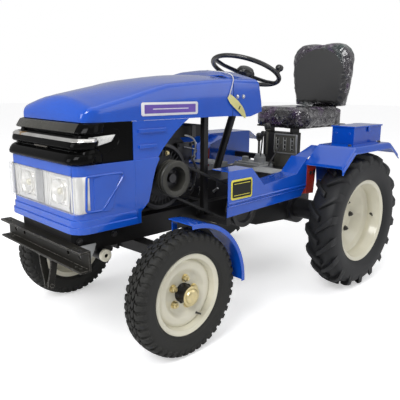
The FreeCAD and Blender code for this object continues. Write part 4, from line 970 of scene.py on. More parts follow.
@dataclass
class Studio:
    """A pale floor, soft lights and the camera."""

    eye: Point = (1.840, -1.917, 1.071)
    yaw: float = 45.583
    pitch: float = 12.718
    roll: float = 0.438
    lens: float = 44.883
    floor_half: float = 30.0
    floor_colour: Colour = (0.93, 0.93, 0.94)
    surround: float = 0.22
    mirrored: float = 0.45
    overhead: float = 0.95
    overhead_spread: float = 80.0
    overhead_lean: Pair = (-14.0, 8.0)
    lamps: tuple[tuple[str, Point, float, float], ...] = (("key", (2.0, -4.8, 4.6), 2.4, 230.0),
        ("side", (4.8, 3.2, 2.75), 3.6, 60.0), ("front", (-1.5, -5.2, 2.2), 2.2, 60.0))
    sensor: float = 36.0
    middle: Point = (0.0, 0.0, 0.6)

    def build(self) -> None:
        """Places the camera, the floor, the world and the lights."""
        self._camera()
        self._floor()
        self._world()
        for lamp in self.lamps:
            self._light(*lamp)
        self._overhead()

    def _camera(self) -> None:
        """The camera, ahead of the nose on the tractor's left."""
        data = bpy.data.cameras.new("view_camera")
        data.lens, data.sensor_width, data.sensor_fit = self.lens, self.sensor, "HORIZONTAL"
        data.clip_start, data.clip_end = 0.05, 100.0
        camera = placed("view_camera", data)
        yaw, pitch = math.radians(self.yaw), math.radians(self.pitch)
        ahead = Vector((-math.sin(yaw) * math.cos(pitch), math.cos(yaw) * math.cos(pitch), -math.sin(pitch)))
        right = ahead.cross(UP).normalized()
        up = right.cross(ahead)
        roll = math.radians(self.roll)
        side = math.cos(roll) * right + math.sin(roll) * up
        top = -math.sin(roll) * right + math.cos(roll) * up
        camera.matrix_world = Matrix(((side.x, top.x, -ahead.x, self.eye[0]),
            (side.y, top.y, -ahead.y, self.eye[1]), (side.z, top.z, -ahead.z, self.eye[2]), (0, 0, 0, 1)))
        bpy.context.scene.camera = camera

    def _floor(self) -> None:
        """A wide plain floor under the tyres."""
        bm = fresh()
        bmesh.ops.create_grid(bm, x_segments=2, y_segments=2, size=self.floor_half)
        mesh = mesh_from("floor", bm)
        floor = placed("floor", mesh)
        floor.location.z = -0.0005
        look = Finish("floor_paper", self.floor_colour, self.floor_colour, (0.8, 0.9), skin_scale=40.0,
            skin_depth=0.00001, dust=0.0, glow=0.47)
        mesh.materials.append(look.material())

    def _world(self) -> None:
        """A white surround that lights the tractor only softly."""
        world = bpy.data.worlds.new("studio")
        world.use_nodes = True
        world.node_tree.nodes.clear()
        graph = Graph(world.node_tree)
        rays = graph.node("ShaderNodeLightPath").outputs
        seen = graph.math("MULTIPLY", rays["Is Camera Ray"], 1.0 - self.surround)
        shine = graph.math("MULTIPLY", rays["Is Glossy Ray"], self.mirrored - self.surround)
        strength = graph.math("ADD", graph.math("ADD", seen, shine), self.surround)
        back = graph.node("ShaderNodeBackground", {"Color": (1.0, 1.0, 1.0, 1.0), "Strength": strength})
        end = graph.node("ShaderNodeOutputWorld")
        world.node_tree.links.new(back.outputs[0], end.inputs[0])
        bpy.context.scene.world = world
        bpy.context.scene.view_settings.view_transform = "Standard"

    def _overhead(self) -> None:
        """A very soft light from above, as even over the floor as over the tractor."""
        data = bpy.data.lights.new("overhead", "SUN")
        data.energy, data.angle = self.overhead, math.radians(self.overhead_spread)
        light = placed("overhead", data)
        light.rotation_euler = (*map(math.radians, self.overhead_lean), 0.0)

    def _light(self, name: str, spot: Point, size: float, power: float) -> None:
        """One soft light that looks at the tractor's middle.

        Args:
            name: The light's name.
            spot: Where it hangs.
            size: The side of its square face.
            power: Its power in watts.
        """
        data = bpy.data.lights.new(name, "AREA")
        data.size, data.energy = size, power
        light = placed(name, data)
        look = Vector(self.middle) - Vector(spot)
        light.matrix_world = Matrix.Translation(Vector(spot)) @ look.to_track_quat("-Z",
            "Y").to_matrix().to_4x4()


# ------------------------------------------------------------- sub-assemblies


@dataclass
class PlainParts:
    """Rigid parts whose own shape is right: each gets its finish and rounded edges."""

    ease: float = 0.0012
    finishes: dict[str, Finish] = field(default_factory=lambda: {"frame_rails": Finishes.black,
        "front_axle_beam": Finishes.black, "knuckle_left": Finishes.black, "knuckle_right": Finishes.black,
        "tie_rod": Finishes.dark_steel, "drag_link": Finishes.dark_steel, "pitman_arm": Finishes.dark_steel,
        "steering_column": Finishes.black, "gearbox_and_axle": Finishes.casting,
        "clutch_pulley": Finishes.dark_steel, "engine_block": Finishes.casting, "fuel_tank": Finishes.black,
        "flywheel": Finishes.casting, "drive_belts": Finishes.belt, "radiator": Finishes.black,
        "exhaust_silencer": Finishes.dark_steel, "cowl_posts": Finishes.black, "foot_plates": Finishes.grey,
        "seat_stand": Finishes.black, "shift_gate": Finishes.olive, "drawbar": Finishes.black,
        "fender_stays": Finishes.red, "front_channel": Finishes.channel, "nose_cowl": Finishes.blue,
        "dash_cowl": Finishes.blue, "side_panels": Finishes.blue, "step_panels": Finishes.blue,
        "toolbox": Finishes.blue, "toolbox_lid": Finishes.blue, "front_mudguard_left": Finishes.blue,
        "front_mudguard_right": Finishes.blue})

    def build(self) -> None:
        """Makes the rounded copy of each part."""
        for node, finish in self.finishes.items():
            softened(node, finish, self.ease)


@dataclass(frozen=True)
class NosePlan:
    """The nose's outline in plan: straight sides, a flat front and rounded corners."""

    half: float = 0.262
    front: float = -0.998
    corner: float = 0.040

    def path(self, rear: float, out: float = 0.0) -> list[Pair]:
        """Points from the left side round the front to the right side.

        Args:
            rear: Where the path starts and ends, on Y.
            out: How far outside the body's side it runs.

        Returns:
            The points, (x, y).
        """
        half, front, radius = self.half + out, self.front - out, self.corner + out
        centre = Vector((half - radius, front + radius))
        turn = [centre + Vector((math.cos(a), math.sin(a))) * radius
            for a in (math.radians(-9.0 * i) for i in range(11))]
        side = [(half, rear + (centre.y - rear) * share) for share in (0.0, 0.33, 0.66)]
        middle = [(half * share, front) for share in (0.6, 0.3)]
        left = side + [tuple(p) for p in turn] + middle
        return left + [(0.0, front)] + [(-x, y) for x, y in reversed(left)]


@dataclass(frozen=True)
class Rake:
    """How the mask leans back: nothing at its foot, and all of it at its top edge."""

    foot: float = 0.800
    head: float = 0.942
    lean: float = 0.052
    front: float = -0.998
    rear: float = -0.780

    def step(self, y: float, z: float) -> float:
        """How far back a point of the upright mask goes."""
        share = min(1.0, max(0.0, (z - self.foot) / (self.head - self.foot)))
        near = min(1.0, max(0.0, (self.rear - y) / (self.rear - self.front)))
        return self.lean * share * near

    def lay(self, bm: Shape) -> None:
        """Leans a whole mesh back."""
        for vert in bm.verts:
            vert.co.y += self.step(vert.co.y, vert.co.z)

    def side_at(self, y: float, z: float, half: float, corner: float) -> float:
        """The leaning mask's half-width at a point of its side.

        Args:
            y: The point's place along the nose.
            z: Its height.
            half: The mask's half-width behind its corners.
            corner: The corners' radius.

        Returns:
            The half-width there.
        """
        turn = self.front + self.step(self.front, z) + corner
        inside = min(corner, max(0.0, turn - y))
        return half - corner + math.sqrt(corner ** 2 - inside ** 2)


@dataclass
class NoseMask:
    """The black mask over the nose: blades that wrap its corners, a rounded lip, fins and side lamps."""

    plan: NosePlan = field(default_factory=NosePlan)
    rake: Rake = field(default_factory=Rake)
    low: float = 0.790
    side: float = 0.262

    def build(self) -> None:
        """Makes the mask and all that is on it."""
        softened("grille_mask", Finishes.gloss, 0.0025, "mask_shell", self.rake.lay)
        self._band("mask_top_band", Finishes.gloss, 0.100,
            mm(2, 4, 940.5, 4, 907, 18.5, 904, 21, 907, 20, 913, 14, 933, 10, 939), 0.2)
        self._band("mask_bright_blade", Finishes.chrome, 0.078,
            mm(2, 12, 888, 12, 876.5, 27, 874.5, 29.8, 876.5, 28.5, 880.5, 22.5, 887.2), 0.1)
        self._band("mask_smoked_blade", Finishes.gloss, 0.085,
            mm(2, 10, 877.5, 10, 850, 18, 847, 24.5, 853, 26.8, 862, 27, 875.2), 0.1)
        self._band("mask_lip", Finishes.gloss, 0.090, mm(2, -2, 791.5, 13, 792, 21, 796.5, 24.5, 806, 24, 819,
            19, 830, 11, 836, 0, 838), 0.2)
        self._visor()
        self._side_ridge()
        self._corner_swell()
        self._fins()
        self._side_lamps()

    def _side_ridge(self) -> None:
        """A faint ridge that hooks down each side of the mask behind the slim lamp."""
        for side in Side:
            points = mm(2, -835, 917, -812, 915, -800, 900, -802, 872, -822, 845, -862, 826, -900, 820)
            line_tube(f"mask_ridge_{side.word}", [(side.value * (self.side - 0.0004), y, z)
                for y, z in points], 0.0022, Finishes.gloss)

    def _visor(self) -> None:
        """The grey face of the top blade, and the amber end of the bright one, along the front only."""
        front = self.plan.front
        face = fresh()
        swept(face, [(0.232, front), (0.12, front), (0.0, front), (-0.12, front), (-0.238, front)],
            mm(2, 19, 907.5, 22.5, 907, 23.2, 910, 21.5, 917, 16.5, 933.5, 12.5, 939.5, 10, 938.5))
        eased(face, 0.0012, 2, 28.0)
        self.rake.lay(face)
        Piece("mask_visor_face", face, Finishes.blade, smooth=38.0, slot="black_trim").make()
        amber = fresh()
        swept(amber, [(-0.130, front), (-0.165, front), (-0.200, front)],
            mm(2, 20, 876, 29.6, 875.2, 29.2, 879, 23.6, 887.2, 16, 888.6),
            lambda share: 0.96 + 0.05 * math.sin(share * math.pi))
        eased(amber, 0.0010, 2, 28.0)
        self.rake.lay(amber)
        Piece("mask_amber_end", amber, Finishes.amber, smooth=38.0, slot="lamp_glass").make()

    def _band(self, name: str, finish: Finish, reach: float, section: Sequence[Pair], end: float) -> None:
        """One band that wraps the front and both corners, and dies into the sides.

        Args:
            name: The piece's name.
            finish: Its finish.
            reach: How far back from the front its ends are.
            section: Its section, (outward, height).
            end: Its ends' share of the full depth.
        """
        bm = fresh()
        path = self.plan.path(self.plan.front + reach)

        def taper(share: float) -> float:
            """Thins the band towards its ends."""
            edge = min(share, 1.0 - share) / 0.10
            return 1.0 if edge >= 1.0 else end + (1.0 - end) * math.sin(edge * math.pi / 2)

        swept(bm, path, section, taper)
        bmesh.ops.subdivide_edges(bm, edges=[e for e in bm.edges if e.calc_length() > 0.05], cuts=2)
        eased(bm, 0.0016, 2, 28.0)
        self.rake.lay(bm)
        Piece(name, bm, finish, smooth=38.0, slot="black_trim").make()

    def _corner_swell(self) -> None:
        """The lip's raised, rounded ends at both corners."""
        bm = fresh()
        rings = []
        for y, high, out in mm(3, -990, 838, 12, -975, 852, 17, -955, 859, 18, -930, 856, 14.5, -905, 842, 9,
                -885, 820, 3):
            low = 0.7925
            mid = (low + high) / 2
            half = (high - low) / 2
            inner = self.side - 0.012 - (0.020 if y < -0.97 else 0.0)
            back = 0.016 if y < -0.98 else 0.0
            rings.append([(inner, y, low), (self.side + out * 0.55 - back, y, low),
                (self.side + out - back, y, mid - half * 0.4), (self.side + out - back, y, mid + half * 0.4),
                (self.side + out * 0.5 - back, y, high - 0.003), (inner, y, high)])
        lofted(bm, rings)
        bmesh.ops.subdivide_edges(bm, edges=bm.edges[:], cuts=1, use_grid_fill=True, smooth=0.4)
        mirrored_over(bm, bm.verts[:])
        self.rake.lay(bm)
        Piece("mask_corner_swells", bm, Finishes.gloss, smooth=50.0, slot="black_trim").make()

    def _fins(self) -> None:
        """Dark fins behind the slots, and a small plain plaque in their middle."""
        bm = fresh()
        front = self.plan.front
        slab(bm, (-0.204, front + 0.0165, 0.800), (0.204, front + 0.0195, 0.936))
        for index in range(9):
            height = 0.8235 + index * 0.0125
            slab(bm, (-0.203, front + 0.004, height), (0.203, front + 0.0185, height + 0.0028))
        eased(bm, 0.0006, 1)
        self.rake.lay(bm)
        Piece("mask_fins", bm, Finishes.grip, slot="black_trim").make()
        plate = fresh()
        corners = slab(plate, (-0.062, front - 0.0095, 0.8395), (0.048, front - 0.0010, 0.8585))
        rounded(plate, [e for e in edges_of(corners) if abs(e.verts[0].co.y - e.verts[1].co.y) > 0.004],
            0.008, 5)
        eased(plate, 0.0012, 2, 60.0)
        self.rake.lay(plate)
        Piece("mask_plaque", plate, Finishes.plaque, slot="black_trim").make()

    def _side_lamps(self) -> None:
        """A slim lamp on each side of the mask, bent round its corner: trough, bars and a clear cover."""
        trough, cover, bars = fresh(), fresh(), fresh()
        foot = (Vector((-0.957, self.low + 0.057)), Vector((-0.846, self.low + 0.081)))
        brow = (Vector((-0.938, self.low + 0.100)), Vector((-0.826, self.low + 0.106)))
        for bm, near, far in ((trough, -0.001, 0.0062), (cover, 0.0066, 0.0090)):
            rings = []
            for index in range(9):
                low, high = foot[0].lerp(foot[1], index / 8), brow[0].lerp(brow[1], index / 8)
                rings.append([self._on_side(point, out) for point, out in ((low, near), (low, far),
                    (high, far), (high, near))])
            lofted(bm, rings)
            eased(bm, 0.0009, 2, 40.0)
        for index in range(7):
            share = (index + 0.6) / 7.4
            low, high = foot[0].lerp(foot[1], share), brow[0].lerp(brow[1], share)
            rod(bars, self._on_side(low.lerp(high, 0.2), 0.0055), self._on_side(low.lerp(high, 0.8), 0.0055),
                0.0020, steps=6)
        absorbed(trough, bars)
        mirrored_over(trough, trough.verts[:])
        mirrored_over(cover, cover.verts[:])
        Piece("side_lamp_troughs", trough, Finishes.lamp_shell, slot="lamp_glass").make()
        Piece("side_lamp_covers", cover, Finishes.glass, slot="lamp_glass").make()

    def _on_side(self, point: Vector, out: float) -> Point:
        """A point of the mask's side, that far outside it.

        Args:
            point: Its place along the nose and its height.
            out: How far outside the mask it is.

        Returns:
            The point.
        """
        return (self.rake.side_at(point.x, point.y, self.plan.half, self.plan.corner) + out, point.x, point.y)


@dataclass
class Hood:
    """The lifting hood: a bull-nosed, crowned sheet shell with soft shoulders.

    Each station is its place on Y, its half-width and the heights of its shoulder and its crown.
    """

    base: float = 0.9424
    nose: float = -0.950
    nose_depth: float = 0.055
    gauge: float = 0.0028
    stations: Rows = mm(4, -862, 260.5, 1010, 1048, -807, 261.2, 1023, 1058, -748, 261.8, 1037, 1069, -675,
        262, 1056, 1082, -610, 262, 1072, 1093, -553, 262, 1085, 1103, -452, 262, 1093, 1116, -360, 262, 1100,
        1125, -260, 262, 1107, 1130, -163, 262, 1112, 1132)

    def build(self) -> None:
        """Makes the shell from its sections."""
        bm = fresh()
        rings = []
        for index in range(8):
            angle = math.radians(index * 90.0 / 7)
            swing = math.sin(angle)
            along = self.nose + self.nose_depth * (1.0 - math.cos(angle))
            rings.append(self._section(along, 0.219 + 0.040 * swing, 0.9580 + 0.0430 * swing,
                0.9640 + 0.0760 * swing, 0.012 + 0.010 * swing))
        rings += [self._section(*station, 0.024) for station in self.stations]
        lofted(bm, rings)
        floor = [f for f in bm.faces if f.normal.z < -0.9 or f.normal.y > 0.9]
        bmesh.ops.delete(bm, geom=floor, context="FACES")
        faced_out(bm)
        bmesh.ops.solidify(bm, geom=bm.faces[:], thickness=self.gauge)
        Piece("hood_shell", bm, Finishes.blue, "hood", ("hood",), "blue_paint", 30.0).make()

    def _section(self, along: float, half: float, shoulder: float, crown: float,
            radius: float) -> list[Point]:
        """One closed section, from the left foot over the crown to the right foot.

        Args:
            along: Its place on Y.
            half: Its half-width.
            shoulder: The shoulder's height.
            crown: The height of its middle.
            radius: The shoulder's rounding.

        Returns:
            The section's points.
        """
        turn = shoulder - radius
        left = [(half, self.base), (half, self.base + (turn - self.base) * 0.5), (half, turn)]
        for step in range(1, 7):
            angle = math.radians(step * 78.0 / 6)
            left.append((half - radius + radius * math.cos(angle), turn + radius * math.sin(angle)))
        x0, z0 = left[-1]
        for share in (0.15, 0.35, 0.58, 0.80):
            left.append((x0 * (1.0 - share), z0 + (crown - z0) * math.sin(share * math.pi / 2)))
        outline = left + [(0.0, crown)] + [(-x, z) for x, z in reversed(left)]
        return [(x, along, z) for x, z in outline]


@dataclass
class Headlamps:
    """The lamp panel in the nose: two square reflectors with bulbs, a grey divider and a clear cover."""

    low: Point = (-0.2755, -1.0130, 0.6113)
    high: Point = (0.2755, -0.979, 0.7517)
    reflectors: Rows = ((-0.172, -0.046), (0.086, 0.206))
    cover_wall: float = 0.0022

    def build(self) -> None:
        """Makes the tray, the reflectors, the bulbs and the cover."""
        self._tray()
        self._bowls()
        self._cover()

    @staticmethod
    def _front_corners(verts: Iterable[Vert], y: float) -> list[bmesh.types.BMEdge]:
        """The upright edges of a blank's front.

        Args:
            verts: The blank's vertices.
            y: Where its front is.

        Returns:
            The edges.
        """
        return [e for e in edges_of(verts) if abs(e.verts[0].co.z - e.verts[1].co.z) > 0.05
            and e.verts[0].co.y < y + 0.01]

    def _tray(self) -> None:
        """The pale tray, with a recess behind each reflector and a raised divider."""
        bm = fresh()
        y = self.low[1] + 0.006
        back = slab(bm, (self.low[0] + 0.003, y + 0.006, self.low[2] + 0.002),
            (self.high[0] - 0.003, self.high[1] + 0.030, self.high[2] - 0.002))
        rounded(bm, self._front_corners(back, y), 0.012, 5)
        for left, right in self.reflectors:
            for lo, hi in (((left - 0.010, y, 0.626), (left, y + 0.008, 0.742)),
                    ((right, y, 0.626), (right + 0.010, y + 0.008, 0.742)),
                    ((left, y, 0.733), (right, y + 0.008, 0.742)),
                    ((left, y, 0.626), (right, y + 0.008, 0.635))):
                slab(bm, lo, hi)
        for x in (-0.252, -0.212, 0.050, 0.066, 0.236, 0.252):
            slab(bm, (x - 0.004, y + 0.001, 0.617), (x + 0.004, y + 0.008, 0.747))
        eased(bm, 0.0014, 2)
        Piece("headlamp_tray", bm, Finishes.lamp_shell, nodes=("headlamp_unit",), slot="lamp_glass").make()
        bar = fresh()
        slab(bar, (-0.034, y - 0.001, 0.616), (0.022, y + 0.008, 0.748))
        eased(bar, 0.003, 3)
        Piece("headlamp_divider", bar, Finishes.divider, slot="lamp_glass").make()

    def _bowls(self) -> None:
        """A faceted bowl and a bulb for each reflector."""
        bowls, bulbs = fresh(), fresh()
        y = self.low[1] + 0.0105
        for left, right in self.reflectors:
            middle = Vector(((left + right) / 2, y, 0.684))
            slab(bowls, (left + 0.001, y, 0.636), (right - 0.001, y + 0.003, 0.732))
            turned(bowls, mm(2, 1.2, 14, -1, 24, -3.5, 34, -7.5, 43, -9.5, 45.5, -7.5, 47.5, -1, 48, 1.5, 48),
                middle - Vector((0, 0.001, 0)), ALONG, 24)
            for dx in (-0.030, -0.010, 0.010, 0.030):
                for dz in (-0.038, 0.038):
                    rod(bowls, middle + Vector((dx * 1.25, 0.0, dz)),
                        middle + Vector((dx * 1.25, -0.004, dz)), 0.005, 0.002, 4)
            turned(bulbs, mm(2, 0, 13.5, -3, 13.5, -6, 11, -8.5, 6, -9.2, 0), middle, ALONG, 24)
        Piece("headlamp_bowls", bowls, Finishes.reflector, slot="lamp_glass", smooth=24.0).make()
        Piece("headlamp_bulbs", bulbs, Finishes.bulb, slot="lamp_glass").make()

    def _cover(self) -> None:
        """The clear cover, bent round the panel's front, top and sides."""
        bm = fresh()
        verts = slab(bm, (self.low[0], self.low[1] - 0.002, self.low[2]),
            (self.high[0], self.high[1], self.high[2]))
        rounded(bm, self._front_corners(verts, self.low[1]), 0.014, 6)
        back = [f for f in bm.faces if f.normal.y > 0.9]
        bmesh.ops.delete(bm, geom=back, context="FACES")
        faced_out(bm)
        bmesh.ops.solidify(bm, geom=bm.faces[:], thickness=self.cover_wall)
        eased(bm, 0.0007, 2, 50.0)
        Piece("headlamp_cover", bm, Finishes.glass, slot="lamp_glass").make()


@dataclass
class SheetTrim:
    """What is pressed into the painted sheets or fixed to them: outlines, blank plates and bolts."""

    side: float = 0.271
    # Name, finish, corners' radius, rounding, and the lowest and highest corners of each plate.
    hood_plates: tuple[tuple, ...] = (("hood_plate_rim", Finishes.white, 0.009, 0.0005,
        mm(3, 262.1, -697, 958.5, 264, -389, 1012)), ("hood_plate_field", Finishes.purple, 0.002, 0.0,
        mm(3, 263.8, -682, 968, 264.6, -404, 1002.5)),
        ("hood_plate_line", Finishes.white, 0.0012, 0.0, mm(3, 264.5, -640, 983.5, 265, -446, 987)))
    step_plates: tuple[tuple, ...] = (("step_plate_rim", Finishes.yellow, 0.012, 0.0005,
        mm(3, 400.1, -316, 583, 402, -172, 674)), ("step_plate_field", Finishes.dark_plate, 0.008, 0.0,
        mm(3, 401.9, -307, 592, 402.6, -181, 665)), ("step_plate_lines", Finishes.yellow, 0.001, 0.0,
        mm(3, 402.5, -298, 601, 402.9, -190, 603.5, 402.5, -298, 653.5, 402.9, -190, 656)))

    def build(self) -> None:
        """Adds the pressed outlines, the plates and the bolts."""
        self._pressed_outlines()
        self._plates("hood", self.hood_plates)
        self._plates("chassis", self.step_plates)
        self._bolts()

    def _pressed_outlines(self) -> None:
        """A raised bead round the nose's side field, on both sides."""
        x = self.side
        corners = mm(2, -950, 749, -959, 749, -961, 738, -966, 640, -967, 620, -955, 616, -915, 614, -896,
            614, -886, 624, -846, 672, -804, 722, -796, 734, -799, 747, -815, 748, -880, 749)
        for side in Side:
            line_tube(f"nose_side_bead_{side.word}", [(side.value * x, y, z) for y, z in corners], 0.0056,
                Finishes.blue, closed=True)

    def _rounded_plate(self, low: Sequence[float], high: Sequence[float], radius: float) -> Shape:
        """A thin upright plate with rounded corners, its face towards +X.

        Args:
            low: Its lowest corner.
            high: Its highest corner.
            radius: Its corners' radius.

        Returns:
            The plate's mesh.
        """
        bm = fresh()
        verts = slab(bm, low, high)
        through = [e for e in edges_of(verts) if abs(e.verts[0].co.y - e.verts[1].co.y) < 1e-6
            and abs(e.verts[0].co.z - e.verts[1].co.z) < 1e-6]
        rounded(bm, through, radius, 6)
        return bm

    def _plates(self, body: str, rows: Sequence[tuple]) -> None:
        """Blank plates on both sides, laid one on another.

        Args:
            body: The body that they ride on.
            rows: A table of plates.
        """
        for side in Side:
            for name, finish, radius, ease, corners in rows:
                bm, *others = (self._rounded_plate(*box, radius) for box in zip(corners[::2], corners[1::2]))
                for other in others:
                    absorbed(bm, other)
                if ease:
                    eased(bm, ease, 2, 60.0)
                Piece(f"{name}_{side.word}", flipped(bm, side), finish, body).make()

    def _bolts(self) -> None:
        """Bolts in the cowl and the toolbox."""
        items = [Fastener((sign * 0.262, y, 1.031), (sign, 0, 0), 0.013, 0.005) for sign in (1, -1)
            for y in (-0.132, -0.090)]
        fastener_set("cowl_bolts", "chassis", Finishes.zinc, items)
        low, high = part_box("toolbox")
        pan = [Fastener((x, y, high.z - 0.030), (0, -1 if y < 0.6 else 1, 0), 0.010, 0.004)
            for x in (0.425, 0.505) for y in (low.y, high.y)]
        fastener_set("toolbox_bolts", "chassis", Finishes.blue, pan)


@dataclass
class HangTag:
    """A card tag that hangs from the cowl on a white cord.

    The cord's curve cuts the corners of the line through its points, so it is shorter by the share `drawn`,
    which is not used.
    """

    thick: float = 0.0036
    drawn: float = 0.985

    def build(self) -> None:
        """Makes the card, a dark plate that paints the shade seen through its slot, and the cord it hangs on.
        """
        bm = fresh()
        rings = []
        for y, z, out, half in mm(4, -196, 1034, 3, 12, -176, 1016, 6.5, 19, -146, 994, 9, 20, -116, 972, 8.5,
                18, -92, 952, 5, 14, -74, 932, 3, 6):
            x = 0.2622 + out
            low, high = (y - half * 0.62, z - half * 0.78), (y + half * 0.62, z + half * 0.78)
            rings.append([(x, *low), (x, *high), (x + 0.0009, *high), (x + 0.0009, *low)])
        lofted(bm, rings)
        bmesh.ops.subdivide_edges(bm, edges=bm.edges[:], cuts=2, use_grid_fill=True)
        card = Piece("tag_card", bm, Finishes.tag, smooth=50.0).make()
        # The slot is a near-black plate on the card: painted shade in place of a hole through it.
        slot = fresh()
        spot = Vector((0.2716, -0.126, 0.980))
        verts = slab(slot, spot - Vector((0.0006, 0.0035, 0.009)), spot + Vector((0.0008, 0.0035, 0.009)))
        moved(slot, verts, Matrix.Translation(spot) @ Matrix.Rotation(math.radians(-32.0), 4, "X")
            @ Matrix.Translation(-spot))
        eased(slot, 0.0006, 2)
        slot_shade = Piece("tag_slot", slot, Finishes.dark_plate).make()
        self._cord()

    def _cord(self) -> None:
        """The cord, out from under the cowl's top seam, over the edge and down to the card.
        """
        points = mm(3, 80, -153, 1153, 130, -150, 1148, 190, -148, 1142, 238, -150, 1133, 261.5, -160, 1113,
            266.5, -172, 1085, 267, -186, 1050, 267.2, -193, 1032, 266.8, -176, 1016, 269, -146, 994, 268.8,
            -120, 975)
        data = bpy.data.curves.new("tag_cord", "CURVE")
        data.dimensions, data.resolution_u, data.use_fill_caps = "3D", 12, True
        data.bevel_depth, data.bevel_resolution = self.thick / 2, 4
        spline = data.splines.new("NURBS")
        spline.points.add(len(points) - 1)
        for point, place in zip(spline.points, points):
            point.co = (*place, 1.0)
        spline.order_u, spline.use_endpoint_u = 3, True
        data.materials.append(Finishes.cord.material())
        cord = placed("tag_cord", data)
        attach(cord, "chassis")


@dataclass
class FrontEnd:
    """The nose's underside: cream ends on the cross tube, grey gussets, bolts and a forked hanger."""

    tube: Point = (0.236, -0.864, 0.416)

    def build(self) -> None:
        """Makes the hanger, the tube's ends, the gussets and the bolts."""
        self._hanger()
        bm = fresh()
        turned(bm, mm(2, -14, 24.2, -12, 25.2, -2, 25.2, 1, 24.5, 2.5, 22.5, 2.8, 20, 2.8, 9.5, 1.8, 8.5, -4,
            8.5, -4, 23.5, -14, 23.5), self.tube, ACROSS, 40, closed=True)
        mirrored_over(bm, bm.verts[:])
        Piece("cross_tube_ends", bm, Finishes.cream, smooth=SOFT).make()
        bm = fresh()
        outline = mm(2, -993, 478, -993, 408, -948, 390, -914, 450, -906, 478)
        lofted(bm, [[(x, y, z) for y, z in outline] for x in (0.2275, 0.2335)])
        eased(bm, 0.0014, 2)
        mirrored_over(bm, bm.verts[:])
        Piece("channel_gussets", bm, Finishes.grey, smooth=SOFT).make()
        items = [Fastener((sign * 0.2005, y, 0.487), (sign, 0, 0), 0.019, 0.008) for sign in (1, -1)
            for y in (-0.96, -0.80, -0.43)]
        fastener_set("front_frame_bolts", "chassis", Finishes.dark_steel, items)

    def _hanger(self) -> None:
        """A forked hanger with a pin, under the middle of the front channel."""
        bm = fresh()
        slab(bm, (-0.020, -1.034, 0.4035), (0.108, -0.996, 0.4110))
        eased(bm, 0.0015, 2)
        for line in (mm(2, -4, 406, 0, 370, 14, 330, 26, 298, 30, 268),
                mm(2, 92, 406, 87, 370, 74, 330, 60, 298, 56, 268)):
            strut = fresh()
            lofted(strut, [[(x - 0.0045, -1.030, z), (x + 0.0045, -1.030, z), (x + 0.0045, -1.000, z),
                (x - 0.0045, -1.000, z)] for x, z in line])
            eased(strut, 0.0016, 2)
            absorbed(bm, strut)
        rod(bm, (0.018, -1.015, 0.280), (0.068, -1.015, 0.280), 0.0075, steps=20)
        Piece("channel_hanger", bm, Finishes.channel, smooth=SOFT).make()


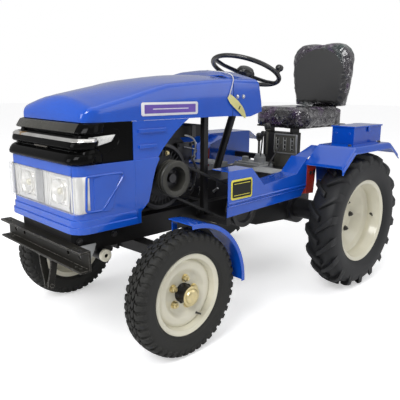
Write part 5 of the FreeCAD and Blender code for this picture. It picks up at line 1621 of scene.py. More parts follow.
@dataclass
class EngineBay:
    """What shows on the engine: a grooved drive pulley, vanes, covers, an oil pan, hoses and fittings."""

    crank: Pair = (-0.542, 0.694)
    side: float = 0.130

    def build(self) -> None:
        """Makes the pulley, the flywheel's ring, the covers, the oil pan, the hoses and the fittings."""
        self._pulley()
        self._flywheel()
        self._covers()
        self._oil_pan()
        self._hoses()
        self._fittings()

    def _pulley(self) -> None:
        """The grooved ring with its deep dark bore, in place of the plain pulley."""
        bm = fresh()
        turned(bm, mm(2, -25, 24.5, -25, 70, -23, 78, -17.5, 78, -14.5, 68, -10.5, 68, -7.5, 78, -1.5, 78,
            1.5, 68, 5.5, 68, 8.5, 78, 14.5, 78, 16.5, 76.5, 19.5, 76.5, 21.5, 78, 24, 77.5, 25, 75, 25, 64,
            24.2, 62, 23.8, 57, 22.5, 53, 19, 51.5, -10, 50.5, -18, 49, -19, 47, -19, 24.5),
            (0.272, *self.crank), ACROSS, 72, closed=True)
        Piece("drive_pulley_grooved", bm, Finishes.pulley, nodes=("drive_pulley",), smooth=30.0).make()
        hub = fresh()
        turned(hub, mm(2, -18.8, 0, -18.8, 48, -17.6, 48.5, -16.5, 46, -16.5, 20, -16.2, 0),
            (0.272, *self.crank), ACROSS, 48)
        for index in range(4):
            heading = math.tau * (index + 0.5) / 4
            spot = (0.2555, self.crank[0] + 0.0335 * math.cos(heading),
                self.crank[1] + 0.0335 * math.sin(heading))
            Fastener(spot, (1, 0, 0), 0.010, 0.005, 0.001).add(hub)
        Piece("drive_pulley_hub", hub, Finishes.casting, smooth=SOFT).make()

    def _flywheel(self) -> None:
        """A raised ring and a row of cooling vanes on the flywheel's face."""
        bm = fresh()
        face = 0.1985
        turned(bm, mm(2, -2, 127, 3, 127.5, 4.2, 129, 4.2, 139.5, 3, 141.5, -2, 142), (face, *self.crank),
            ACROSS, 72, closed=True)
        vane = fresh()
        slab(vane, (face - 0.001, self.crank[0] - 0.0016, self.crank[1] + 0.086),
            (face + 0.0034, self.crank[0] + 0.0016, self.crank[1] + 0.121))
        eased(vane, 0.0005, 1)
        repeated_round(vane, vane.verts[:], (0.0, *self.crank), 36)
        absorbed(bm, vane)
        Piece("flywheel_vanes", bm, Finishes.casting, smooth=FIRM).make()

    def _covers(self) -> None:
        """Ribbed and bolted covers on the crankcase's side, and the tank's straps."""
        bm = fresh()
        x = self.side
        for index in range(10):
            height = 0.560 + index * 0.016
            slab(bm, (x - 0.002, -0.386, height), (x + 0.016, -0.322, height + 0.005))
        slab(bm, (x - 0.002, -0.381, 0.555), (x + 0.010, -0.327, 0.722))
        slab(bm, (x - 0.002, -0.410, 0.742), (x + 0.024, -0.318, 0.822))
        eased(bm, 0.0022, 2)
        for y, z in mm(2, -400, 752, -328, 752, -400, 812, -328, 812):
            Fastener((x + 0.024, y, z), (1, 0, 0), 0.011, 0.005, 0.001).add(bm)
        Piece("engine_side_covers", bm, Finishes.casting, smooth=FIRM).make()
        strap = fresh()
        low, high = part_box("fuel_tank")
        for y in (low.y + 0.070, high.y - 0.070):
            slab(strap, (low.x - 0.003, y - 0.012, low.z - 0.004), (low.x, y + 0.012, high.z + 0.003))
            slab(strap, (high.x, y - 0.012, low.z - 0.004), (high.x + 0.003, y + 0.012, high.z + 0.003))
            slab(strap, (low.x - 0.003, y - 0.012, high.z), (high.x + 0.003, y + 0.012, high.z + 0.003))
        eased(strap, 0.0008, 1)
        Piece("fuel_tank_straps", strap, Finishes.dark_steel, smooth=FIRM).make()

    def _oil_pan(self) -> None:
        """A ribbed oil pan under the engine, narrower at its foot, with a drain plug."""
        bm = fresh()
        levels = mm(2, 538, 0, 520, 4, 500, 14, 484, 30, 480, 40)
        lofted(bm, [[(-0.095 + inset, -0.680 + inset, z), (0.112 - inset, -0.680 + inset, z),
            (0.112 - inset, -0.340 - inset, z), (-0.095 + inset, -0.340 - inset, z)] for z, inset in levels])
        eased(bm, 0.006, 3)
        rib = fresh()
        for index in range(9):
            y = -0.648 + index * 0.034
            slab(rib, (-0.086, y - 0.0025, 0.500), (0.108, y + 0.0025, 0.534))
        eased(rib, 0.0015, 2)
        absorbed(bm, rib)
        Fastener((0.010, -0.510, 0.480), (0, 0, -1), 0.022, 0.010).add(bm)
        Piece("oil_pan", bm, Finishes.casting, smooth=FIRM).make()

    def _hoses(self) -> None:
        """Fuel and oil hoses, with the injector's pipe and the engine's wires."""
        # Name, radius, finish, and points outward from the crankcase's side.
        hoses = (("fuel_hose", 0.0042, Finishes.pale_hose,
            mm(3, 30, -400, 862, 44, -360, 858, 44, -325, 838, 30, -302, 812, 18, -296, 780, 16, -300, 752)),
            ("oil_hose", 0.0058, Finishes.grip, mm(3, 8, -305, 740, 16, -290, 715, 18, -284, 670, 12, -294,
            620, 6, -312, 592)), ("injector_pipe", 0.0026, Finishes.zinc,
            mm(3, 26, -372, 805, 40, -350, 800, 46, -318, 792, 28, -290, 782, 6, -278, 770)),
            ("engine_wires", 0.0034, Finishes.grip, mm(3, 12, -330, 890, 34, -296, 880, 26, -262, 850, -4,
            -236, 790, -10, -226, 700, 4, -236, 620, 10, -260, 560)))
        for name, radius, finish, points in hoses:
            line_tube(name, [(self.side + out, y, z) for out, y, z in points], radius, finish)

    def _fittings(self) -> None:
        """Bright fittings, a filter, the starter and the yellow bolt of the flywheel's guard."""
        bm = fresh()
        x = self.side
        rod(bm, (x + 0.010, -0.300, 0.742), (x + 0.022, -0.300, 0.760), 0.0085, 0.006, 12)
        rod(bm, (x - 0.010, -0.286, 0.812), (x + 0.018, -0.292, 0.816), 0.010, 0.008, 6)
        rod(bm, (x + 0.004, -0.296, 0.692), (x + 0.016, -0.294, 0.692), 0.009, steps=6)
        rod(bm, (0.140, -0.158, 0.562), (0.166, -0.153, 0.584), 0.007, 0.005, 12)
        rod(bm, (0.112, -0.236, 0.594), (0.166, -0.226, 0.590), 0.0036, steps=10)
        rod(bm, (0.120, -0.410, 0.590), (0.150, -0.404, 0.586), 0.005, steps=10)
        eased(bm, 0.0008, 1, 40.0)
        Piece("engine_bright_fittings", bm, Finishes.zinc, smooth=FIRM).make()
        bolt = fresh()
        Fastener((0.1985, -0.512, 0.792), (1, 0, 0), 0.014, 0.008, 0.002).add(bolt)
        Piece("flywheel_guard_bolt", bolt, Finishes.yellow_zinc, smooth=SOFT).make()
        filt = fresh()
        turned(filt, mm(2, 0, 0, 0, 18, 2, 21, 12, 22, 46, 22, 50, 19, 52, 12, 58, 10, 58, 0),
            (0.118, -0.262, 0.640), UP, 28)
        turned(filt, mm(2, 0, 0, 0, 26, 4, 30, 80, 30, 84, 26, 86, 12, 94, 11, 94, 0), (0.020, -0.284, 0.590),
            ACROSS, 32)
        Piece("engine_starter_and_filter", filt, Finishes.dark_steel, smooth=FIRM).make()


@dataclass
class Controls:
    """Gear gate, levers and knobs, the throttle quadrant's bracket, and the housing under them."""

    plate_y: float = 0.454
    low: float = 0.620
    top: float = 0.812

    def build(self) -> None:
        """Makes the gate's rim and tongues, the levers' trim, the bracket and the housing."""
        self._gate()
        self._levers()
        self._quadrant()
        self._housing()

    def _gate(self) -> None:
        """A rim round the gate plate, and tongues that make its slots wind."""
        bm = fresh()
        y = self.plate_y
        left, right = 0.045, 0.199
        for lo, hi in (((left, y - 0.006, self.top - 0.006), (right, y + 0.006, self.top + 0.001)),
                ((left, y - 0.006, self.top - 0.112), (right, y + 0.006, self.top - 0.106)),
                ((left - 0.001, y - 0.006, self.top - 0.112), (left + 0.005, y + 0.006, self.top)),
                ((right - 0.005, y - 0.006, self.top - 0.112), (right + 0.001, y + 0.006, self.top))):
            slab(bm, lo, hi)
        for index in range(3):
            x = 0.067 + index * 0.0513
            slab(bm, (x - 0.008, y - 0.0045, 0.772), (x + 0.002, y + 0.0060, 0.778))
            slab(bm, (x - 0.002, y - 0.0045, 0.748), (x + 0.008, y + 0.0060, 0.754))
            slab(bm, (x - 0.008, y - 0.0045, 0.726), (x + 0.002, y + 0.0060, 0.731))
            for edge in (-0.0095, 0.0095):
                slab(bm, (x + edge - 0.0016, y - 0.0045, 0.718), (x + edge + 0.0016, y + 0.001, 0.792))
        eased(bm, 0.0010, 2)
        Piece("gear_gate_rims", bm, Finishes.steel, smooth=FIRM).make()

    def _levers(self) -> None:
        """Knobs, collars and boots on the levers."""
        knobs, boots = fresh(), fresh()
        for x, top in ((0.020, 0.832), (-0.040, 0.772)):
            turned(knobs, mm(2, -8, 10, -2, 12.5, 6, 16.5, 18, 19.5, 30, 19, 37, 14, 40, 6, 40.5, 0),
                (x, 0.414, top), UP, 28)
            turned(boots, mm(2, 0, 30, 6, 31, 10, 24, 16, 26, 20, 19, 27, 21, 31, 14, 38, 15, 44, 8.5, 50,
                7.8), (x, 0.414, self.low + 0.020), UP, 28)
        Piece("lever_knobs", knobs, Finishes.grip, smooth=SOFT).make()
        Piece("lever_boots", boots, Finishes.belt, smooth=SOFT).make()
        rods = fresh()
        rod(rods, (0.060, 0.300, 0.640), (0.050, 0.335, 0.812), 0.0045, steps=12)
        rod(rods, (0.100, 0.330, 0.640), (0.118, 0.420, 0.760), 0.0045, steps=12)
        Piece("slim_lever_rods", rods, Finishes.dark_steel, smooth=SOFT).make()
        tips = fresh()
        turned(tips, mm(2, -12, 0, -12, 8, -4, 12, 6, 13.5, 14, 11, 18, 5, 18.5, 0), (0.050, 0.335, 0.815),
            Vector((-0.057, 0.2, 0.98)), 24)
        Piece("slim_lever_tips", tips, Finishes.grip, smooth=SOFT).make()

    def _quadrant(self) -> None:
        """A blue bracket plate on a leg, inside the right step panel."""
        bm = fresh()
        outline = mm(2, -32, 846, 214, 846, 214, 800, 170, 748, 150, 746.5, 150, 647, 70, 647, 70, 746.5, 40,
            748, -12, 790)
        lofted(bm, [[(x, y, z) for y, z in outline] for x in (-0.303, -0.299)])
        eased(bm, 0.0012, 2)
        Piece("quadrant_plate", bm, Finishes.blue, smooth=FIRM).make()

    def _housing(self) -> None:
        """Cast covers, a breather and bolts on top of the gearbox."""
        bm = fresh()
        slab(bm, (-0.100, 0.255, self.low - 0.004), (0.100, 0.375, self.low + 0.026))
        slab(bm, (-0.080, 0.268, self.low + 0.022), (0.080, 0.362, self.low + 0.036))
        eased(bm, 0.0045, 3)
        turned(bm, mm(2, 0, 0, 0, 30, 4, 34, 30, 33, 34, 28, 44, 26, 48, 20, 48, 0),
            (0.040, 0.326, self.low + 0.034), UP, 36)
        turned(bm, mm(2, 0, 0, 0, 20, 24, 20, 28, 16, 28, 0), (-0.046, 0.300, self.low + 0.034), UP, 28)
        for x in (-0.088, 0.088):
            for y in (0.264, 0.315, 0.366):
                Fastener((x, y, self.low + 0.026), (0, 0, 1), 0.012, 0.006, 0.001).add(bm)
        Piece("gearbox_top_covers", bm, Finishes.grey, smooth=FIRM).make()


@dataclass
class StepTrim:
    """Ribs on the foot plates, and a double crease along each step panel."""

    ribs: int = 9

    def build(self) -> None:
        """Makes the beads of each panel's crease, and the ribs on both foot plates."""
        for side in Side:
            for z, half, name in ((0.5715, 0.0052, "upper"), (0.5560, 0.0036, "lower")):
                line_tube(f"step_crease_{name}_{side.word}",
                    [(side.value * 0.3990, -0.330, z), (side.value * 0.3990, 0.264, z + 0.009)], half,
                    Finishes.blue)
        low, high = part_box("foot_plates")
        bm = fresh()
        pitch = (high.y - low.y - 0.016) / self.ribs
        for index in range(self.ribs):
            y = low.y + 0.008 + pitch * (index + 0.5)
            slab(bm, (0.128, y - pitch * 0.26, high.z - 0.001),
                (high.x - 0.006, y + pitch * 0.26, high.z + 0.0035))
        eased(bm, 0.0014, 2)
        mirrored_over(bm, bm.verts[:])
        Piece("foot_plate_ribs", bm, Finishes.grey, smooth=FIRM).make()


@dataclass
class RearTrim:
    """Pressed rear fenders with rolled edges, their bolts, and the toolbox's hinges and latch."""

    deck: float = 0.7855
    fold: Rows = mm(2, 400, 0, 596, 0, 603.5, -1.2, 608.8, -4.6, 612, -9.8, 612.8, -15, 613, -23.5, 615,
        -27.5, 619.2, -29, 619.8, -31.8, 618.5, -34, 614, -33.2, 610.8, -30.5, 610, -25, 609.8, -16, 608.5,
        -11, 606, -6.8, 602, -4.2, 596, -3, 400, -3)

    def build(self) -> None:
        """Makes the pressed fenders, the hinges, the latch and the bolts."""
        self._fenders()
        low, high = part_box("toolbox_lid")
        hinge = fresh()
        for y in (low.y + 0.050, high.y - 0.050):
            rod(hinge, (low.x - 0.0035, y - 0.022, high.z - 0.003),
                (low.x - 0.0035, y + 0.022, high.z - 0.003), 0.0036, steps=14)
        Piece("toolbox_hinges", hinge, Finishes.zinc, smooth=FIRM).make()
        latch = fresh()
        middle = (low.y + high.y) / 2
        slab(latch, (high.x, middle - 0.012, high.z - 0.034),
            (high.x + 0.0028, middle + 0.012, high.z - 0.004))
        rod(latch, (high.x + 0.002, middle - 0.010, high.z - 0.030),
            (high.x + 0.002, middle + 0.010, high.z - 0.030), 0.0034, steps=12)
        eased(latch, 0.0008, 1, 50.0)
        Piece("toolbox_latch", latch, Finishes.blue, "toolbox_lid", smooth=FIRM).make()
        items = [Fastener((sign * x, y, self.deck), (0, 0, 1), 0.014, 0.006) for sign in (1, -1)
            for x, y in ((0.560, 0.400), (0.560, 0.714))]
        items += [Fastener((sign * 0.4035, y, 0.640), (-sign, 0, 0), 0.014, 0.006) for sign in (1, -1)
            for y in (0.300, 0.330)]
        fastener_set("fender_bolts", "chassis", Finishes.dark_steel, items)

    def _fenders(self) -> None:
        """Folds each fender over its ridge: sloped front, flat deck, sloped tail, inner wall."""
        bm = fresh()
        ridge = mm(2, 257, 689, 259, 700, 300, 733.2, 350, 773.7, 357, 778.8, 364, 782.3, 372, 784.4, 380,
            785, 470, 785, 560, 785, 650, 785, 740, 785, 748, 784.4, 756, 782.6, 764, 778.2, 810, 748.7, 854,
            720)
        lofted(bm, [[(x, y, z + drop) for x, drop in self.fold] for y, z in ridge])
        wall = fresh()
        outline = mm(2, 364, 570, 334, 759, 364, 782, 754, 782, 754, 570)
        lofted(wall, [[(x, y, z) for y, z in outline] for x in (0.4000, 0.4030)])
        eased(wall, 0.0008, 1)
        absorbed(bm, wall)
        mirrored_over(bm, bm.verts[:])
        Piece("rear_fenders_pressed", bm, Finishes.blue, "chassis", ("rear_fenders",), "blue_paint",
            40.0).make()


@dataclass
class Wheel:
    """What both kinds of wheel share: sizes, place, and how pieces are made for one side."""

    side: Side
    end: str
    track: float
    axle: float
    radius: float
    half_width: float
    bead: float
    flange: float
    rim_half: float
    facets: int

    @property
    def centre(self) -> Vector:
        """The wheel's centre, on the left side."""
        return Vector((self.track, self.axle, self.radius))

    def build(self) -> None:
        """Makes the tyre, the rim, the hub and the fasteners."""
        self._tyre()
        self._rim()
        self._hub()

    def _tyre(self) -> None:
        """Makes the tyre."""
        raise NotImplementedError

    def _rim(self) -> None:
        """Makes the rim."""
        raise NotImplementedError

    def _hub(self) -> None:
        """Makes the hub."""
        raise NotImplementedError

    def _spin(self, bm: Shape, profile: Sequence[Pair], steps: int = 0) -> None:
        """Spins a profile round the axle.

        Args:
            bm: The mesh.
            profile: Points of (distance outward, radius), the last of which joins the first.
            steps: Steps round it, where they aren't the wheel's usual facets.
        """
        turned(bm, profile, self.centre, ACROSS, steps or self.facets, closed=True)

    def _put(self, part: str, bm: Shape, finish: Finish, suffix: str = "", slot: str | None = None,
            smooth: float = 32.0) -> None:
        """Makes a piece that is shaped for the left wheel on this wheel's side.

        Args:
            part: Its part of the wheel.
            bm: Its mesh.
            finish: Its finish.
            suffix: What its name ends in, where it stands for the node of that part.
            slot: Its slot; not used.
            smooth: The least turn of an edge that stays sharp, in degrees.
        """
        word = self.side.word
        node = f"{self.end}_{part}_{word}"
        Piece(node + suffix, flipped(bm, self.side), finish, f"{self.end}_wheel_{word}",
            (node,) if suffix else (), slot, smooth).make()

    def _row(self, bm: Shape, sections: Sequence[tuple[float, float, Sequence[Pair]]], count: int,
            rounding: tuple[float, int, float]) -> None:
        """Adds one row of tread blocks.

        Args:
            bm: The mesh.
            sections: (along, heading in degrees, corners) of each section. A corner is a radius and a turn in
                radians from the heading.
            count: How many blocks there are round the tyre.
            rounding: The width, faces and least angle of their rounded edges.
        """
        block = fresh()
        lofted(block, [[tuple(self._ray(math.radians(heading) + turn, radius, along))
            for radius, turn in corners] for along, heading, corners in sections])
        eased(block, *rounding)
        repeated_round(block, block.verts[:], self.centre, count)
        absorbed(bm, block)

    def _ray(self, angle: float, reach: float, out: float = 0.0) -> Vector:
        """A point of the wheel.

        Args:
            angle: Its heading round the axle, in radians.
            reach: How far it is from the axle.
            out: How far outward it is.

        Returns:
            The point.
        """
        return self.centre + Vector((out, reach * math.cos(angle), reach * math.sin(angle)))


@dataclass
class FrontWheel(Wheel):
    """A front wheel: tyre with a zigzag road tread, stepped rim, hub with its cap, nuts and valve."""

    end: str = "front"
    track: float = 0.445
    axle: float = -0.646
    radius: float = 0.262
    half_width: float = 0.055
    bead: float = 0.152
    flange: float = 0.170
    rim_half: float = 0.039
    facets: int = 96
    blocks: int = 44
    block_depth: float = 0.009
    nut_circle: float = 0.060
    # How far along, share of the pitch round, top radius and width of each section of both kinds of bar.
    bars: tuple[Rows, ...] = (((0.0010, 0.0, 0.2620, 0.0260), (0.0085, 0.30, 0.2618, 0.0265),
        (0.0165, -0.05, 0.2612, 0.0260)), ((0.0200, 0.25, 0.2606, 0.0235), (0.0290, 0.50, 0.2594, 0.0235),
        (0.0400, 0.38, 0.2572, 0.0215), (0.0500, 0.38, 0.2520, 0.0200), (0.0560, 0.38, 0.2425, 0.0170),
        (0.0550, 0.38, 0.2370, 0.0150)))

    def _bar(self, bm: Shape, stations: Sequence[tuple[float, float, float, float]]) -> None:
        """Adds one row of tread bars.

        Args:
            bm: The mesh.
            stations: (along, heading in degrees, top radius, width) of each section.
        """
        sections = []
        for along, heading, top, width in stations:
            low = top - self.block_depth - 0.005
            corners = [(low, -1, 1.25), (low, 1, 1.25), (top, 1, 1.0), (top, -1, 1.0)]
            sections.append((along, heading, [(r, way * width * grow / 2 / top) for r, way, grow in corners]))
        self._row(bm, sections, self.blocks, (0.0012, 1, 35.0))

    def _tyre(self) -> None:
        """Smooth carcass with a rim guard line, and four rows of tread bars."""
        bm = fresh()
        crown, half = self.radius - self.block_depth, self.half_width
        left = [(-0.034, self.bead + 0.0012), (-0.036, self.flange - 0.004), (-0.042, self.flange + 0.004),
            (-0.0475, self.flange + 0.012), (-0.0505, self.flange + 0.014), (-0.053, self.flange + 0.028),
            (-half, 0.216), (-0.0545, 0.226), (-0.0525, 0.236), (-0.047, 0.2445), (-0.036, 0.2500),
            (-0.020, crown - 0.001)]
        profile = left + [(0.0, crown)] + [(-along, out) for along, out in reversed(left)]
        self._spin(bm, profile)
        pitch = 360.0 / self.blocks
        for sign, lead in ((1, 0.0), (-1, pitch * 0.5)):
            for bar in self.bars:
                self._bar(bm, [(sign * along, lead + pitch * share, top, width)
                    for along, share, top, width in bar])
        self._put("tyre", bm, Finishes.front_tyre, "_tread", "tyre_rubber", FIRM)

    def _rim(self) -> None:
        """Rolled rim with a stepped disc, its hub hole, and the valve."""
        bm = fresh()
        b, f, h, t = self.bead, self.flange, self.rim_half, 0.004
        self._spin(bm, [(-h, f), (-h + t, f), (-h + t, b + 0.003), (-h + t + 0.006, b), (-0.010, b - 0.002),
            (-0.004, b - 0.007), (0.004, b - 0.007), (0.010, b - 0.002), (h - t - 0.006, b),
            (h - t, b + 0.003), (h - t, f - 0.002), (h - t + 0.002, f), (h, f), (h + 0.002, f - 0.003),
            (h, f - 0.008), (h - 0.004, b - 0.002), (h - 0.012, b - t - 0.001), (0.012, b - 0.010),
            (0.004, b - 0.012), (-0.012, b - 0.010), (-h, b - t)])
        self._spin(bm, mm(2, 0, 40, 0, 84, 4, 92, 15.5, 100, 18, 108, 18, 126, 14, 136, 6, 146, 0, 148, -4,
            146, 2, 142, 10, 132, 13, 124, 13, 110, 10, 103, -4, 95, -4.5, 40))
        faced_out(bm)
        self._put("rim", bm, Finishes.cream, "_rolled", "cream_paint", SOFT)
        stem = fresh()
        spot = self._ray(-1.05, 0.116, 0.014)
        tip = spot + Vector((0.024, 0.012, -0.004))
        rod(stem, spot - Vector((0.004, 0, 0)), spot + (tip - spot) * 0.45, 0.0062, 0.0045, 16)
        rod(stem, spot + (tip - spot) * 0.45, tip, 0.0036, 0.0034, 16)
        self._put("valve", stem, Finishes.grip)

    def _hub(self) -> None:
        """Black hub barrel with a yellow-zinc cap, and five nuts on their studs."""
        bm = fresh()
        self._spin(bm, mm(2, -36, 18.5, -36, 37, -10, 38, -6, 62, -4.6, 62, -4.6, 37.5, 4, 37.5, 8, 35, 40,
            33, 46, 36, 52, 36, 52, 18.5), 64)
        for index in range(5):
            angle = math.tau * (index + 0.5) / 5
            arm = Vector((0, math.cos(angle), math.sin(angle)))
            rod(bm, self.centre + arm * 0.030 + Vector((0.012, 0, 0)),
                self.centre + arm * 0.0375 + Vector((0.002, 0, 0)), 0.008, 0.009, 12)
        self._put("hub", bm, Finishes.black, "_barrel", "black_paint", FIRM)
        cap = fresh()
        turned(cap, mm(2, 51.5, 0, 51.5, 40.5, 54.5, 41.5, 56.2, 40, 56.8, 32.5, 63, 30.5, 67, 26, 69, 18,
            69.7, 8, 69.9, 0), self.centre, ACROSS, 48)
        self._put("hub_cap", cap, Finishes.yellow_zinc)
        nuts = fresh()
        for index in range(5):
            angle = math.tau * index / 5 + 1.35
            Fastener(tuple(self._ray(angle, self.nut_circle)), (1, 0, 0), 0.024, 0.014, 0.002,
                0.008).add(nuts)
        self._put("nuts", nuts, Finishes.yellow_zinc, smooth=SOFT)


@dataclass
class RearWheel(Wheel):
    """A rear wheel: tyre with lugs in a V, deep-dished rim, hub flange, bolts and valve."""

    end: str = "rear"
    track: float = 0.527
    axle: float = 0.554
    radius: float = 0.370
    half_width: float = 0.080
    bead: float = 0.205
    flange: float = 0.224
    rim_half: float = 0.060
    facets: int = 108
    lugs: int = 18
    lug_depth: float = 0.022
    lug_width: float = 0.030
    dish: float = -0.070
    bolt_circle: float = 0.088
    # How far along, how far round in degrees, how far under the crown and how broad each section of a lug is.
    lug_stations: Rows = ((-0.006, 0.0, 0.0, 0.85), (0.020, 2.7, 0.0005, 0.9), (0.040, 5.6, 0.003, 0.95),
        (0.060, 8.6, 0.008, 1.05), (0.0755, 11.0, 0.0165, 1.15), (0.0795, 11.8, 0.034, 1.1),
        (0.0785, 12.2, 0.050, 0.9))

    def _lug_row(self, bm: Shape, sign: int, lead: float) -> None:
        """Adds one side's lugs.

        Args:
            bm: The mesh.
            sign: 1 for the outer side of the tread and -1 for the inner one.
            lead: Where the first lug starts, in degrees.
        """
        base = self.radius - self.lug_depth - 0.012
        sections = []
        for along, swing, drop, broad in self.lug_stations:
            top = self.radius - drop
            low = min(base - drop, top - 0.012)
            corners = [(low, -1, 1.45), (low, 1, 1.45), (top - 0.009, 1, 1.12), (top, 1, 1.0), (top, -1, 1.0),
                (top - 0.009, -1, 1.12)]
            sections.append((sign * along, lead - swing, [(r,
                way * self.lug_width * broad * grow / 2 / self.radius) for r, way, grow in corners]))
        self._row(bm, sections, self.lugs, (0.0028, 2, 42.0))

    def _tyre(self) -> None:
        """Round-shouldered carcass with its sidewall rings, and the lugs."""
        bm = fresh()
        crown = self.radius - self.lug_depth
        left = [(-0.055, self.bead + 0.0012), (-0.057, self.flange - 0.004), (-0.063, self.flange + 0.004),
            (-0.0680, self.flange + 0.010), (-0.0700, self.flange + 0.018), (-0.0740, self.flange + 0.024),
            (-0.0775, 0.268), (-0.0795, 0.286), (-0.0790, 0.302), (-0.0775, 0.308), (-0.0765, 0.318),
            (-0.0700, 0.331), (-0.0560, 0.3405), (-0.0300, crown - 0.0015)]
        profile = left + [(0.0, crown)] + [(-along, out) for along, out in reversed(left)]
        self._spin(bm, profile)
        self._lug_row(bm, 1, 0.0)
        self._lug_row(bm, -1, 180.0 / self.lugs)
        self._put("tyre", bm, Finishes.tyre, "_lugged", "tyre_rubber", FIRM)

    def _rim(self) -> None:
        """Rolled rim with its deep conical disc, bolts and valve."""
        bm = fresh()
        b, f, h, t, d = self.bead, self.flange, self.rim_half, 0.004, self.dish
        self._spin(bm, [(-h, f), (-h + t, f), (-h + t, b + 0.004), (-h + t + 0.008, b), (-0.026, b - 0.001),
            (-0.018, b - 0.010), (0.018, b - 0.010), (0.026, b - 0.001), (h - t - 0.008, b),
            (h - t, b + 0.004), (h - t, f - 0.002), (h - t + 0.002, f), (h, f), (h + 0.002, f - 0.003),
            (h, f - 0.009), (h - 0.005, b - 0.001), (h - 0.014, b - t - 0.001), (0.028, b - t - 0.003),
            (0.018, b - 0.015), (-0.018, b - 0.015), (-0.030, b - t - 0.003), (-h, b - t)])
        self._spin(bm, [(d, 0.039), (d, 0.098), (d + 0.004, 0.106), (-0.030, 0.144), (-0.024, 0.152),
            (-0.020, 0.164), (-0.018, 0.186), (-0.014, 0.190), (-0.019, 0.190), (-0.024, 0.184),
            (-0.025, 0.166), (-0.029, 0.156), (-0.036, 0.147), (d - 0.001, 0.109), (d - 0.005, 0.099),
            (d - 0.005, 0.039)])
        faced_out(bm)
        self._put("rim", bm, Finishes.cream, "_dished", "cream_paint", SOFT)
        stem = fresh()
        spot = self.centre + Vector((0.004, self.bead - 0.009, -0.003))
        rod(stem, spot, spot + Vector((0.012, -0.016, 0.0)), 0.0085, 0.0060, 16)
        rod(stem, spot + Vector((0.012, -0.016, 0.0)), spot + Vector((0.026, -0.034, 0.0)), 0.0046, 0.0042,
            16)
        self._put("valve", stem, Finishes.grip)
        bolts = fresh()
        for index in range(6):
            angle = math.tau * index / 6
            Fastener(tuple(self._ray(angle, self.bolt_circle, d)), (1, 0, 0), 0.021, 0.012, 0.002,
                0.007).add(bolts)
        self._put("bolts", bolts, Finishes.dark_steel, smooth=SOFT)

    def _hub(self) -> None:
        """The hub flange, with its edges rounded."""
        softened(f"rear_hub_{self.side.word}", Finishes.cream, 0.0015)


@dataclass
class SteeringWheel:
    """Steering wheel: thick rim, three flat spokes in a T, domed boss and a spinner knob."""

    centre: Point = (0.0, 0.229, 1.162)
    tilt: float = 23.0
    radius: float = 0.186
    rim: float = 0.0128
    knob_heading: float = 0.30
    spokes: tuple[float, ...] = (58.0, 148.0, 238.0)

    def build(self) -> None:
        """Makes the wheel in its own plane, then leans it to the driver."""
        bm = fresh()
        steps = 16
        ring = [(self.rim * 0.92 * math.sin(math.tau * i / steps),
            self.radius + self.rim * math.cos(math.tau * i / steps)) for i in range(steps)]
        turned(bm, ring, (0, 0, 0), UP, 96, closed=True)
        for heading in self.spokes:
            self._spoke(bm, math.radians(heading))
        turned(bm, mm(2, -52, 0, -52, 26, -40, 30, -30, 44, -16, 52, -4, 52, 6, 46, 16, 40, 22, 28, 25, 12,
            25.5, 0), (0, 0, -0.004), UP, 48)
        knob = Vector((self.radius * math.cos(self.knob_heading), self.radius * math.sin(self.knob_heading),
            0))
        turned(bm, mm(2, 8, 9, 16, 9, 22, 13, 26, 18.5, 34, 21.5, 44, 20.5, 51, 14, 53.5, 6, 54, 0), knob, UP,
            32)
        lean = Matrix.Translation(Vector(self.centre)) @ Matrix.Rotation(-math.radians(self.tilt), 4, "X")
        moved(bm, bm.verts, lean)
        faced_out(bm)
        Piece("steering_wheel_moulded", bm, Finishes.grip, "steering_wheel", ("steering_wheel",),
            "black_trim", 40.0).make()

    def _spoke(self, bm: Shape, heading: float) -> None:
        """Adds one spoke, waisted between boss and rim.

        Args:
            bm: The mesh.
            heading: The spoke's heading in the wheel's plane, in radians.
        """
        out = Vector((math.cos(heading), math.sin(heading), 0))
        across = Vector((-out.y, out.x, 0))
        rings = []
        for along, half, thick, height in mm(4, 30, 30, 10, -22, 75, 23, 8, -19, 125, 21, 8, -16, 162, 24, 8,
                -9, 185, 30, 8, -1):
            spots = [(math.cos(a) * half, math.sin(a) * thick)
                for a in (math.tau * i / 12 for i in range(12))]
            rings.append([tuple(out * along + across * u + Vector((0, 0, height + w))) for u, w in spots])
        lofted(bm, rings)


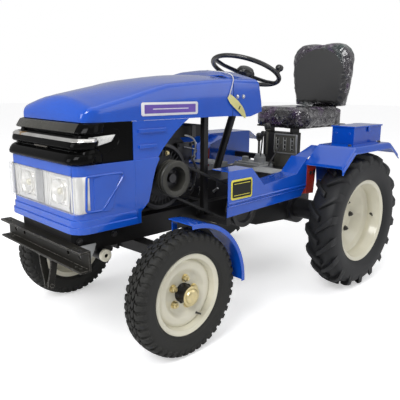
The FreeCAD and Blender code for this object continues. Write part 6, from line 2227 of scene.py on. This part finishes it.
@dataclass
class SeatPad:
    """A padded part of the seat, swollen as foam under its cover."""

    node: str
    pressure: float
    cap: float
    fill: float
    shrink: Point
    edge_band: float = 0.0
    voxel: float = 0.0058
    settling: int = 6
    frames: int = 20

    def build(self) -> bpy.types.Object:
        """Makes the pad from the CAD solid's form.

        Returns:
            The piece.
        """
        bm = cad_copy(self.node)
        low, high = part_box(self.node)
        centre = (low + high) / 2
        span = high - low
        scale = [(s - 2 * less) / s for s, less in zip(span, self.shrink)]
        moved(bm, bm.verts, Matrix.Translation(centre) @ Matrix.Diagonal((*scale, 1.0))
            @ Matrix.Translation(-centre))
        obj = placed(f"{self.node}_padded", mesh_from(f"{self.node}_padded", bm))
        self._modifier(obj, "REMESH", mode="VOXEL", voxel_size=self.voxel * 1.0)
        self._settle(obj)
        self._swell(obj)
        self._modifier(obj, "SUBSURF", levels=1, render_levels=1)
        return obj

    @staticmethod
    def _apply(obj: bpy.types.Object) -> None:
        """Bakes an object's modifiers into its mesh.

        Args:
            obj: The object.
        """
        graph = bpy.context.evaluated_depsgraph_get()
        baked = bpy.data.meshes.new_from_object(obj.evaluated_get(graph))
        old = obj.data
        obj.modifiers.clear()
        obj.data = baked
        bpy.data.meshes.remove(old)

    def _modifier(self, obj: bpy.types.Object, kind: str, **settings: object) -> None:
        """Adds a modifier and bakes it.

        Args:
            obj: The object.
            kind: The modifier's type.
            settings: Its settings.
        """
        made = obj.modifiers.new(kind.lower(), kind)
        for key, value in settings.items():
            setattr(made, key, value)
        self._apply(obj)

    def _settle(self, obj: bpy.types.Object) -> None:
        """Takes the voxel steps out of the remeshed form.

        Args:
            obj: The object.
        """
        bm = fresh()
        bm.from_mesh(obj.data)
        for _ in range(self.settling):
            bmesh.ops.smooth_vert(bm, verts=bm.verts[:], factor=0.5, use_axis_x=True, use_axis_y=True,
                use_axis_z=True)
        bm.to_mesh(obj.data)
        bm.free()

    def _swell(self, obj: bpy.types.Object) -> None:
        """Swells the pad with a cloth simulation, and caps how far any point goes.

        Args:
            obj: The object.
        """
        rest = [v.co.copy() for v in obj.data.vertices]
        cloth = obj.modifiers.new("cloth", "CLOTH")
        cloth.settings.use_pressure = True
        cloth.settings.uniform_pressure_force = self.pressure
        cloth.settings.effector_weights.gravity = 0.0
        cloth.settings.quality = 5
        cloth.point_cache.frame_start, cloth.point_cache.frame_end = 1, self.frames
        scene = bpy.context.scene
        for number in range(1, self.frames + 1):
            scene.frame_set(number)
        self._apply(obj)
        scene.frame_set(1)
        for vertex, start in zip(obj.data.vertices, rest):
            step = vertex.co - start
            if step.length > self.cap:
                vertex.co = start + step * (self.cap / step.length)


@dataclass
class Seat:
    """The driver's seat: padded cushion and back under packing film."""

    def build(self) -> None:
        """Makes both pads and dresses them."""
        self._pad(SeatPad("seat_cushion", 4.0, 0.016, 0.7, (0.006, 0.006, 0.001)))
        self._pad(SeatPad("seat_back", 3.0, 0.014, 0.6, (0.016, 0.002, 0.004), 0.042), Finishes.vinyl)

    def _pad(self, pad: SeatPad, *more: Finish) -> None:
        """Dresses one pad, puts it on its body and hides the CAD node that it stands for.

        Args:
            pad: The pad.
            more: The finish of its face, where that isn't film.
        """
        obj = pad.build()
        mesh = obj.data
        mesh.materials.clear()
        for look in (Finishes.film, *more):
            mesh.materials.append(look.material())
        low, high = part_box(pad.node)
        if more:
            crown = Vector(((low.x + high.x) / 2, 0.0, high.z - (high.x - low.x) / 2))
            for face in mesh.polygons:
                c = face.center
                inside = (high.x - low.x) / 2 - pad.edge_band
                near = (abs(c.x) < inside and low.z + 0.03 < c.z
                    and (c.z < crown.z or (Vector((c.x, 0.0, c.z)) - crown).length < inside))
                face.material_index = 1 if near and face.normal.y < -0.3 else 0
        mesh.shade_smooth()
        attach(obj, frame["nodes"][pad.node]["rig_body"])
        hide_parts(pad.node)
        LOG.info("%s is padded", obj.name)


def main() -> None:
    """Builds and dresses the tractor."""
    logging.basicConfig(level=logging.INFO, format="%(message)s")
    Studio().build()
    HangTag().build()
    PlainParts().build()
    for side in Side:
        FrontWheel(side).build()
        RearWheel(side).build()
    for part in (Hood(), NoseMask(), Headlamps(), SheetTrim(), FrontEnd(), EngineBay(), Controls(),
            StepTrim(), RearTrim(), SteeringWheel(), Seat()):
        part.build()
    bpy.context.view_layer.update()


if __name__ == "__main__":
    main()
